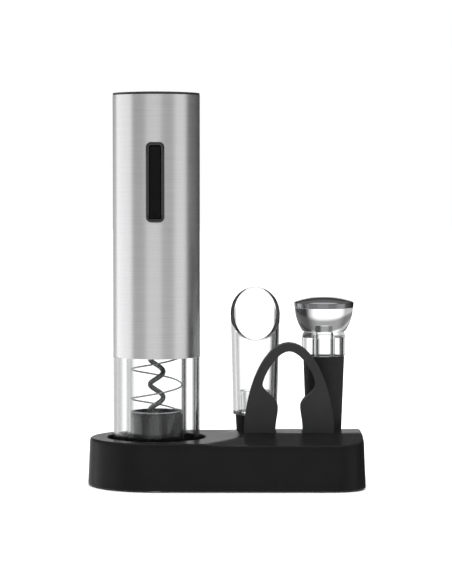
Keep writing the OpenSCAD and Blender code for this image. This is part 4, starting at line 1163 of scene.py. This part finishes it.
def repeated(name, part_mesh, places, body, slot, node, turn=0.9):
    """One piece that repeats a part, given about the origin, at several places."""
    scene = bpy.context.scene.collection
    part = bpy.data.objects.new("part", part_mesh)
    cloud_mesh = bpy.data.meshes.new("places")
    cloud_mesh.from_pydata([tuple(place) for place in places], [], [])
    cloud = bpy.data.objects.new("places", cloud_mesh)
    scene.objects.link(part)
    scene.objects.link(cloud)
    mesh = made_by(at_places_tree(), Part=part, Places=cloud, Turn=turn, Finish=finish_for(slot))
    bpy.data.objects.remove(part)
    bpy.data.objects.remove(cloud)
    return finished(name, mesh, body, finish_for(slot), [node])


def screw_mesh(shank, shank_length, head, head_height):
    """A screw that points up from its head's underside, with a round dished recess and a few turns of thread."""
    slot = head * 0.16
    origin = Vector((0, 0, 0))
    pitch = shank * 0.55
    corners = [(0, -head_height * 0.55, 0)]
    corners += [(slot * 1.6, -head_height * 0.55, 0), (head * 0.55, -head_height, 0.04 * MM)]
    corners += [(head, -head_height, head_height * 0.35), (head, 0, 0.05 * MM), (shank, 0, 0)]
    z = pitch
    while z < shank_length - 1.5 * pitch:
        corners += [(shank, z, 0), (shank * 0.82, z + pitch * 0.3, 0), (shank * 0.82, z + pitch * 0.6, 0)]
        z += pitch
    corners += [(shank, z, 0), (shank * 0.4, shank_length, 0), (0, shank_length, 0)]
    return joined([turned(rounded(corners, 3), origin, 32)])


def screws(name, node, body, upward=True):
    """The screws of a node, each with a round recess and a thread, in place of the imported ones."""
    found = solids_of(node)
    places = []
    for middle, low, high in found:
        places.append((middle.x, middle.y, low.z))
    middle, low, high = found[0]
    head = radius_of(low, high)
    shank = min(
        math.hypot(v.co.x - middle.x, v.co.y - middle.y)
        for v in cad_nodes[node].data.vertices
        if abs(v.co.z - (high.z if upward else low.z)) < 0.01 * MM and (v.co.xy - middle.xy).length < head * 1.01
    )
    length = high.z - low.z
    head_height = head_of(node, middle, head, low)
    mesh = screw_mesh(shank, length - head_height, head, head_height)
    mesh.transform(Matrix.Translation((0, 0, head_height)))
    return repeated(name, mesh, places, body, "zinc", node)


def head_of(node, middle, head, low):
    """Height of a screw's head: how far up its full width reaches."""
    wide = [
        v.co.z
        for v in cad_nodes[node].data.vertices
        if (v.co.xy - middle.xy).length > head * 0.97 and (v.co.xy - middle.xy).length < head * 1.01
    ]
    return max(wide) - low.z


def base_fixings():
    """The four rubber feet, each with a rounded edge and a shallow dish, and the base's screws."""
    found = solids_of("base_feet")
    _, low, high = found[0]
    radius = radius_of(low, high)
    thick = high.z - low.z
    corners = [
        (0, 0.15 * MM, 0),
        (radius * 0.6, 0.15 * MM, 0.2 * MM),
        (radius * 0.72, 0, 0.2 * MM),
        (radius, 0, 0.3 * MM),
        (radius, thick, 0.1 * MM),
        (0, thick, 0),
    ]
    part = joined([turned(rounded(corners, 4), Vector((0, 0, 0)), 64)])
    places = [(spot.x, spot.y, 0) for spot, _, _ in found]
    repeated("Base_feet", part, places, "base", "foot_rubber", "base_feet", turn=0.0)
    screws("Base_screws", "base_screws", "base")


# ---------- Accessories ----------


def foil_cutter():
    """The foil cutter's body with softened edges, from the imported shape."""
    look = bpy.context.scene.accessory_look
    source = cad_nodes["cutter_body"].data.copy()
    _, low, high = middle_of("cutter_body")
    shape = bmesh.new()
    shape.from_mesh(source)
    bmesh.ops.remove_doubles(shape, verts=shape.verts, dist=1e-6)
    bmesh.ops.dissolve_limit(shape, angle_limit=math.radians(0.5), verts=shape.verts, edges=shape.edges)
    weight = shape.edges.layers.float.new("bevel_weight_edge")
    for edge in shape.edges:
        ends = [vert.co for vert in edge.verts]
        on_front = all(abs(p.y - low.y) < 1e-6 for p in ends)
        on_back = all(abs(p.y - high.y) < 1e-6 for p in ends)
        foot = all(abs(p.z - low.z) < 1e-6 for p in ends)
        if (on_front or on_back) and not foot and edge.calc_face_angle(0) > math.radians(60):
            edge[weight] = 1
    shape.to_mesh(source)
    shape.free()
    piece = finished("Cutter_body", source, "foil_cutter", finish_for("cutter_grey"), ["cutter_body"])
    bevel = piece.modifiers.new("Rounding", "BEVEL")
    bevel.width = look.cutter_round
    bevel.segments = 4
    bevel.limit_method = "WEIGHT"
    weighted = piece.modifiers.new("Flat faces", "WEIGHTED_NORMAL")
    weighted.keep_sharp = True
    applied(piece)


def cutter_wheels():
    """The four cutting wheels, each ground to an edge round the bore that its pin goes through."""
    for index in range(1, 5):
        node = f"cutter_wheel_{index}"
        middle, low, high = middle_of(node)
        radius = radius_of(low, high)
        bore, _ = radii_at(node, low.z)
        thick = high.z - low.z
        corners = [
            (bore, low.z, 0.05 * MM),
            (radius - thick, low.z, 0.05 * MM),
            (radius, low.z + thick * 0.46, 0.02 * MM),
            (radius, low.z + thick * 0.54, 0.02 * MM),
            (radius - thick, high.z, 0.05 * MM),
            (bore, high.z, 0.05 * MM),
        ]
        turned_piece(f"Cutter_wheel_{index}", corners, middle, f"cutter_wheel_{index}", "wheel_steel", [node], 48, 2)


def pouring_spout():
    """The clear spout with its slanted mouth, the air tube inside it and the rubber bung below."""
    look = bpy.context.scene.accessory_look
    middle, low, high = middle_of("pourer_spout")
    bung_high = middle_of("pourer_bung")[2]
    wide = radius_of(low, high)
    foot_z = bung_high.z + look.flange
    narrow = radii_at("pourer_spout", foot_z)[1]
    wall = look.spout_wall
    drop = look.mouth_drop
    sides, rise = 160, high.z - foot_z

    def radius_at(z):
        return narrow + (wide - narrow) * (z - foot_z) / rise

    def mouth_z(a):
        lean = 0.5 - 0.5 * math.sin(a)
        return high.z - drop * lean

    def ring(share, inset, dip=0.0):
        loop = []
        for j in range(sides):
            a = TURN * j / sides
            z = foot_z + (mouth_z(a) - dip - foot_z) * share
            r = radius_at(z) - inset
            loop.append((middle.x + r * math.cos(a), middle.y + r * math.sin(a), z))
        return loop

    lip = 0.4 * MM
    shares = (0, 0.02, 0.15, 0.35, 0.55, 0.75, 0.9, 0.97)
    rings = [ring(share, 0, lip) for share in shares]
    corner = [(lip * (1 - math.cos(a)), lip * (1 - math.sin(a))) for a in (0.25 * math.pi * i for i in range(3))]
    rings += [ring(1, inset, dip) for inset, dip in corner]
    rings += [ring(1, wall - inset, dip) for inset, dip in corner[::-1]]
    rings += [ring(share, wall, lip) for share in shares[::-1]]
    bore = radii_at("pourer_spout", low.z)[0]
    flange_r = radii_at("pourer_spout", low.z)[1]

    def level(radius, z):
        return [(x, y, z) for x, y in circle(middle.x, middle.y, radius, sides)]

    rings += [level(bore, foot_z), level(bore, bung_high.z), level(flange_r, bung_high.z), level(flange_r, foot_z)]
    mesh = joined([loft(rings, closed=True)])
    spout = finished(
        "Pourer_spout", mesh, "pourer", finish_for("clear_plastic"), ["pourer_spout"], crease=50
    )
    # Painted shade: the lip's faces at the left and right of the mouth, which are seen edge on, get a dark clear
    # finish that stands in for the dark edges that light makes there.
    spout.data.materials.append(clear("clear_plastic_painted_lip_shade", look.lip, rough=(0.02, 0.06)))
    for face in spout.data.polygons:
        a = math.atan2(face.center.y - middle.y, face.center.x - middle.x)
        if face.center.z > mouth_z(a) - lip and abs(math.cos(a)) > 0.42:
            face.material_index = 1

    middle, low, high = middle_of("pourer_insert")
    low_inner, low_outer = radii_at("pourer_insert", low.z)
    high_inner, high_outer = radii_at("pourer_insert", high.z)
    corners = [
        (low_inner, low.z, 0.1 * MM),
        (low_outer, low.z, 0.1 * MM),
        (high_outer, high.z, 0.4 * MM),
        (high_inner, high.z, 0.4 * MM),
    ]
    turned_piece("Pourer_insert", corners, middle, "pourer", "clear_plastic", ["pourer_insert"])

    bung("Pourer_bung", "pourer_bung", "pourer")


def bung(name, node, body):
    """A tapered rubber bung with softened ends, hollowed down to a floor where its bore is wider at the top."""
    middle, low, high = middle_of(node)
    low_inner, low_outer = radii_at(node, low.z)
    high_inner, high_outer = radii_at(node, high.z)
    corners = [(low_inner, low.z, 0.3 * MM), (low_outer, low.z, 0.8 * MM), (high_outer, high.z, 0.5 * MM)]
    corners.append((high_inner, high.z, 0.3 * MM))
    if high_inner > low_inner + 0.5 * MM:
        _, seat_low, _ = middle_of("stopper_seal")
        floor = seat_low.z - 3 * MM
        corners += [(high_inner, floor, 0.2 * MM), (low_inner, floor, 0.1 * MM)]
    turned_piece(name, corners, middle, body, "bung_rubber", [node])


def vacuum_stopper():
    """The stopper: chrome cap, clear head, rod and collar over a tapered rubber bung."""
    look = bpy.context.scene.accessory_look
    middle, low, high = middle_of("stopper_cap")
    radius = radius_of(low, high)
    rim = low.z + look.cap_rim
    dome = high.z - rim
    corners = [(0, low.z, 0), (radius - 0.3 * MM, low.z, 0.3 * MM), (radius, rim - 0.5 * MM, 0.35 * MM)]
    shares = (0.96, 0.88, 0.78, 0.65, 0.5, 0.35, 0.2, 0.1)
    corners += [(radius * share, rim + dome * (1 - share**2.3) - 0.05 * MM, 0) for share in shares]
    corners.append((0, high.z, 0))
    turned_piece("Stopper_cap", corners, middle, "pump", "cap_chrome", ["stopper_cap"], crease=40)

    middle, low, high = middle_of("stopper_head")
    foot = radii_at("stopper_head", low.z)[1]
    radius = radius_of(low, high)
    rise = high.z - low.z
    corners = [(0, low.z, 0), (foot, low.z, 0.4 * MM)]
    for i in range(1, 10):
        t = i / 10
        swell = math.sin(math.pi / 2 * t) ** 0.85
        corners.append((foot + (radius - foot) * swell, low.z + rise * t, 0))
    corners += [(radius, high.z - 0.02 * MM, 0.25 * MM), (0, high.z - 0.02 * MM, 0)]
    turned_piece(
        "Stopper_head", corners, middle, "pump", "clear_plastic", ["stopper_head"], crease=25, finish="clear_thin"
    )

    middle, low, high = middle_of("stopper_collar")
    radius = radius_of(low, high)
    bore = radii_at("stopper_collar", low.z)[0]
    bevel = 2.4 * MM
    web_in, web_out = bore + 1.8 * MM, radius - 2 * MM
    corners = [
        (bore, low.z, 0.15 * MM),
        (web_in, low.z, 0.15 * MM),
        (web_in, high.z - bevel - 1 * MM, 0.3 * MM),
        (web_out, high.z - bevel - 1 * MM, 0.3 * MM),
        (web_out, low.z, 0.15 * MM),
        (radius - 0.3 * MM, low.z, 0.3 * MM),
        (radius, high.z - bevel, 0.5 * MM),
        (radius - 1 * MM, high.z, 0.3 * MM),
        (bore, high.z, 0.15 * MM),
    ]
    turned_piece(
        "Stopper_collar", corners, middle, "stopper", "clear_plastic", ["stopper_collar"], finish="clear_thin"
    )

    middle, low, high = middle_of("stopper_rod")
    rod = radius_of(low, high)
    corners = [(0, low.z, 0), (rod, low.z, 0.3 * MM), (rod, high.z, 0.3 * MM), (0, high.z, 0)]
    turned_piece("Stopper_rod", corners, middle, "pump", "clear_plastic", ["stopper_rod"], 96, finish="clear_thin")

    middle, low, high = middle_of("stopper_seal")
    seal = radius_of(low, high)
    groove = (high.z + low.z) / 2
    corners = [
        (0, low.z, 0),
        (seal, low.z, 0.3 * MM),
        (seal, groove - 0.5 * MM, 0.2 * MM),
        (seal - 0.6 * MM, groove, 0.2 * MM),
        (seal, groove + 0.5 * MM, 0.2 * MM),
        (seal, high.z, 0.3 * MM),
        (0, high.z, 0),
    ]
    turned_piece("Stopper_seal", corners, middle, "pump", "bung_rubber", ["stopper_seal"], 96)
    bung("Stopper_bung", "stopper_bung", "stopper")


# ---------- Finishes of the working parts inside ----------


def inner_works():
    """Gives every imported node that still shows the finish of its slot."""
    for part in frame["record"]["subparts"]:
        node = cad_nodes[part["node"]]
        if node.hide_render:
            continue
        node.data.materials.clear()
        node.data.materials.append(finish_for(part["material_slot"]))


# ---------- Stage ----------


def floor():
    """A plain pale floor with a faint paper grain."""
    look = bpy.context.scene.stage_look
    half = look.floor_size / 2
    material, tree, shader = blank("Paper")
    tint(tree, grain(tree, [25] * 3), look.paper, 0.01, shader.inputs["Base Color"])
    spread(tree, grain(tree, [200] * 3), 0.85, 0.95, shader.inputs["Roughness"])
    mesh = bpy.data.meshes.new("Floor")
    mesh.from_pydata([(-half, -half, 0), (half, -half, 0), (half, half, 0), (-half, half, 0)], [], [(0, 1, 2, 3)])
    mesh.materials.append(material)
    piece = bpy.data.objects.new("Floor", mesh)
    piece.visible_glossy = False
    piece.visible_transmission = False
    bpy.context.scene.collection.objects.link(piece)


def ramp(tree, stops, value):
    """A colour ramp whose stops are (share, brightness, alpha), fed with a value from 0 to 1."""
    made = add_node(tree, "ShaderNodeValToRGB")
    while len(made.color_ramp.elements) < len(stops):
        made.color_ramp.elements.new(0.5)
    for element, (share, brightness, alpha) in zip(made.color_ramp.elements, stops):
        element.position = share
        element.color = (brightness, brightness, brightness, alpha)
    tree.links.new(value, made.inputs["Fac"])
    return made


def studio():
    """White and dark boards that stand round the object, under a dark ceiling with a soft light in it."""
    world = bpy.data.worlds.new("Studio")
    bpy.context.scene.world = world
    world.use_nodes = True
    tree = world.node_tree
    link = tree.links.new
    place = add_node(tree, "ShaderNodeTexCoord")
    split = add_node(tree, "ShaderNodeSeparateXYZ")
    link(place.outputs["Generated"], split.inputs[0])
    behind = add_node(tree, "ShaderNodeMath", {"operation": "MULTIPLY"})
    behind.inputs[1].default_value = -1
    link(split.outputs["Y"], behind.inputs[0])
    turn = add_node(tree, "ShaderNodeMath", {"operation": "ARCTAN2"})
    link(split.outputs["X"], turn.inputs[0])
    link(behind.outputs[0], turn.inputs[1])
    around = add_node(tree, "ShaderNodeMapRange")
    around.inputs["From Min"].default_value = -math.pi
    around.inputs["From Max"].default_value = math.pi
    link(turn.outputs[0], around.inputs["Value"])
    boards = (
        (-180, 1.35),
        (-174, 1.35),
        (-168, 0.5),
        (-133, 0.6),
        (-127, 1.5),
        (-70, 1.4),
        (-62, 0.36),
        (-31, 0.4),
        (-22, 0.95),
        (12, 0.95),
        (18, 0.42),
        (44, 0.42),
        (56, 1.1),
        (82, 1.1),
        (95, 0.03),
        (168, 0.03),
        (174, 1.35),
        (180, 1.35),
    )
    boards = ramp(tree, [((degrees + 180) / 360, light, 1) for degrees, light in boards], around.outputs["Result"])
    height = add_node(tree, "ShaderNodeMapRange")
    height.inputs["From Min"].default_value = -1
    link(split.outputs["Z"], height.inputs["Value"])
    levels = (
        (-1, 0.8, 1),
        (-0.35, 0.8, 1),
        (-0.12, 0.8, 0),
        (0.01, 0.1, 0),
        (0.04, 0.1, 0.8),
        (0.12, 0.1, 0.8),
        (0.15, 0.1, 0),
        (0.19, 0.1, 0),
        (0.25, 0.1, 1),
        (0.42, 0.1, 1),
        (0.6, 0.35, 1),
        (0.85, 0.35, 1),
        (0.93, 1.6, 1),
    )
    levels = ramp(tree, [((z + 1) / 2, light, alpha) for z, light, alpha in levels], height.outputs["Result"])
    room = add_node(tree, "ShaderNodeMix", {"data_type": "RGBA"})
    link(levels.outputs["Alpha"], room.inputs[0])
    link(boards.outputs["Color"], room.inputs[6])
    link(levels.outputs["Color"], room.inputs[7])
    seen = add_node(tree, "ShaderNodeMix", {"data_type": "RGBA"})
    seen.inputs[7].default_value = (1, 1, 1, 1)
    ray = add_node(tree, "ShaderNodeLightPath")
    link(ray.outputs["Is Camera Ray"], seen.inputs[0])
    link(room.outputs[2], seen.inputs[6])
    link(seen.outputs[2], tree.nodes["Background"].inputs["Color"])


def camera():
    look = bpy.context.scene.stage_look
    data = bpy.data.cameras.new("Camera")
    data.lens = look.lens
    data.sensor_width = 36
    piece = bpy.data.objects.new("Camera", data)
    piece.location = (0, -look.camera_distance, look.camera_height)
    aim = Vector((0, 0, look.aim_height))
    piece.rotation_euler = (aim - piece.location).to_track_quat("-Z", "Y").to_euler()
    bpy.context.scene.collection.objects.link(piece)
    bpy.context.scene.camera = piece


def overhead():
    """A wide soft light from above, as even over the floor as an overcast sky."""
    light = bpy.data.lights.new("Overhead", "SUN")
    light.angle = math.radians(120)
    light.energy = bpy.context.scene.stage_look.top_light
    piece = bpy.data.objects.new("Overhead", light)
    piece.location = (0, 0, 2)
    piece.visible_glossy = False
    bpy.context.scene.collection.objects.link(piece)


def stage():
    bpy.context.scene.view_settings.view_transform = "Standard"
    camera()
    floor()
    studio()
    overhead()


# ---------- Operators, panel and main ----------


class OPENER_OT_stage(Operator):
    """Set up the camera, the floor and the soft studio light"""

    bl_idname = "opener.stage"
    bl_label = "Stage"

    def execute(self, context):
        stage()
        return {"FINISHED"}


class OPENER_OT_base(Operator):
    """Build the moulded base with its sockets, deck and swept ramp"""

    bl_idname = "opener.base"
    bl_label = "Base Shell"

    def execute(self, context):
        base_shell()
        return {"FINISHED"}


class OPENER_OT_base_fixings(Operator):
    """Build the rubber feet and the screws under the base"""

    bl_idname = "opener.base_fixings"
    bl_label = "Feet and Screws"

    def execute(self, context):
        base_fixings()
        return {"FINISHED"}


class OPENER_OT_tube(Operator):
    """Build the brushed steel tube and the cap on it"""

    bl_idname = "opener.tube"
    bl_label = "Steel Tube and Cap"

    def execute(self, context):
        steel_tube()
        top_cap()
        return {"FINISHED"}


class OPENER_OT_button(Operator):
    """Build the button's frame and its rocker"""

    bl_idname = "opener.button"
    bl_label = "Button"

    def execute(self, context):
        button()
        return {"FINISHED"}


class OPENER_OT_window(Operator):
    """Build the clear sleeve, the clear guide tube and the neck ring"""

    bl_idname = "opener.window"
    bl_label = "Clear Window"

    def execute(self, context):
        clear_tubes()
        neck_ring()
        return {"FINISHED"}


class OPENER_OT_coils(Operator):
    """Wind the spring and the worm"""

    bl_idname = "opener.coils"
    bl_label = "Spring and Worm"

    def execute(self, context):
        spring_and_worm()
        return {"FINISHED"}


class OPENER_OT_cutter(Operator):
    """Build the foil cutter and its wheels"""

    bl_idname = "opener.cutter"
    bl_label = "Foil Cutter"

    def execute(self, context):
        foil_cutter()
        cutter_wheels()
        return {"FINISHED"}


class OPENER_OT_pourer(Operator):
    """Build the pouring spout, its air tube and its bung"""

    bl_idname = "opener.pourer"
    bl_label = "Pouring Spout"

    def execute(self, context):
        pouring_spout()
        return {"FINISHED"}


class OPENER_OT_stopper(Operator):
    """Build the vacuum stopper"""

    bl_idname = "opener.stopper"
    bl_label = "Vacuum Stopper"

    def execute(self, context):
        vacuum_stopper()
        return {"FINISHED"}


class OPENER_OT_works(Operator):
    """Give the working parts inside the finishes of their slots"""

    bl_idname = "opener.works"
    bl_label = "Working Parts"

    def execute(self, context):
        inner_works()
        return {"FINISHED"}


STEPS = (
    OPENER_OT_stage,
    OPENER_OT_base,
    OPENER_OT_base_fixings,
    OPENER_OT_tube,
    OPENER_OT_button,
    OPENER_OT_window,
    OPENER_OT_coils,
    OPENER_OT_cutter,
    OPENER_OT_pourer,
    OPENER_OT_stopper,
    OPENER_OT_works,
)


class OPENER_PT_panel(Panel):
    """The steps that build the opener, in order"""

    bl_idname = "OPENER_PT_panel"
    bl_label = "Wine Opener"
    bl_space_type = "VIEW_3D"
    bl_region_type = "UI"
    bl_category = "Wine Opener"

    def draw(self, context):
        for step in STEPS:
            self.layout.operator(step.bl_idname)


LOOKS = {
    "base_look": BaseLook,
    "opener_look": OpenerLook,
    "accessory_look": AccessoryLook,
    "stage_look": StageLook,
}


def register():
    for look in LOOKS.values():
        bpy.utils.register_class(look)
    for name, look in LOOKS.items():
        setattr(bpy.types.Scene, name, PointerProperty(type=look))
    for step in STEPS:
        bpy.utils.register_class(step)
    bpy.utils.register_class(OPENER_PT_panel)


def unregister():
    bpy.utils.unregister_class(OPENER_PT_panel)
    for step in reversed(STEPS):
        bpy.utils.unregister_class(step)
    for name, look in reversed(LOOKS.items()):
        delattr(bpy.types.Scene, name)
        bpy.utils.unregister_class(look)


def main():
    register()
    for step in STEPS:
        group, name = step.bl_idname.split(".")
        getattr(getattr(bpy.ops, group), name)()


if __name__ == "__main__":
    main()
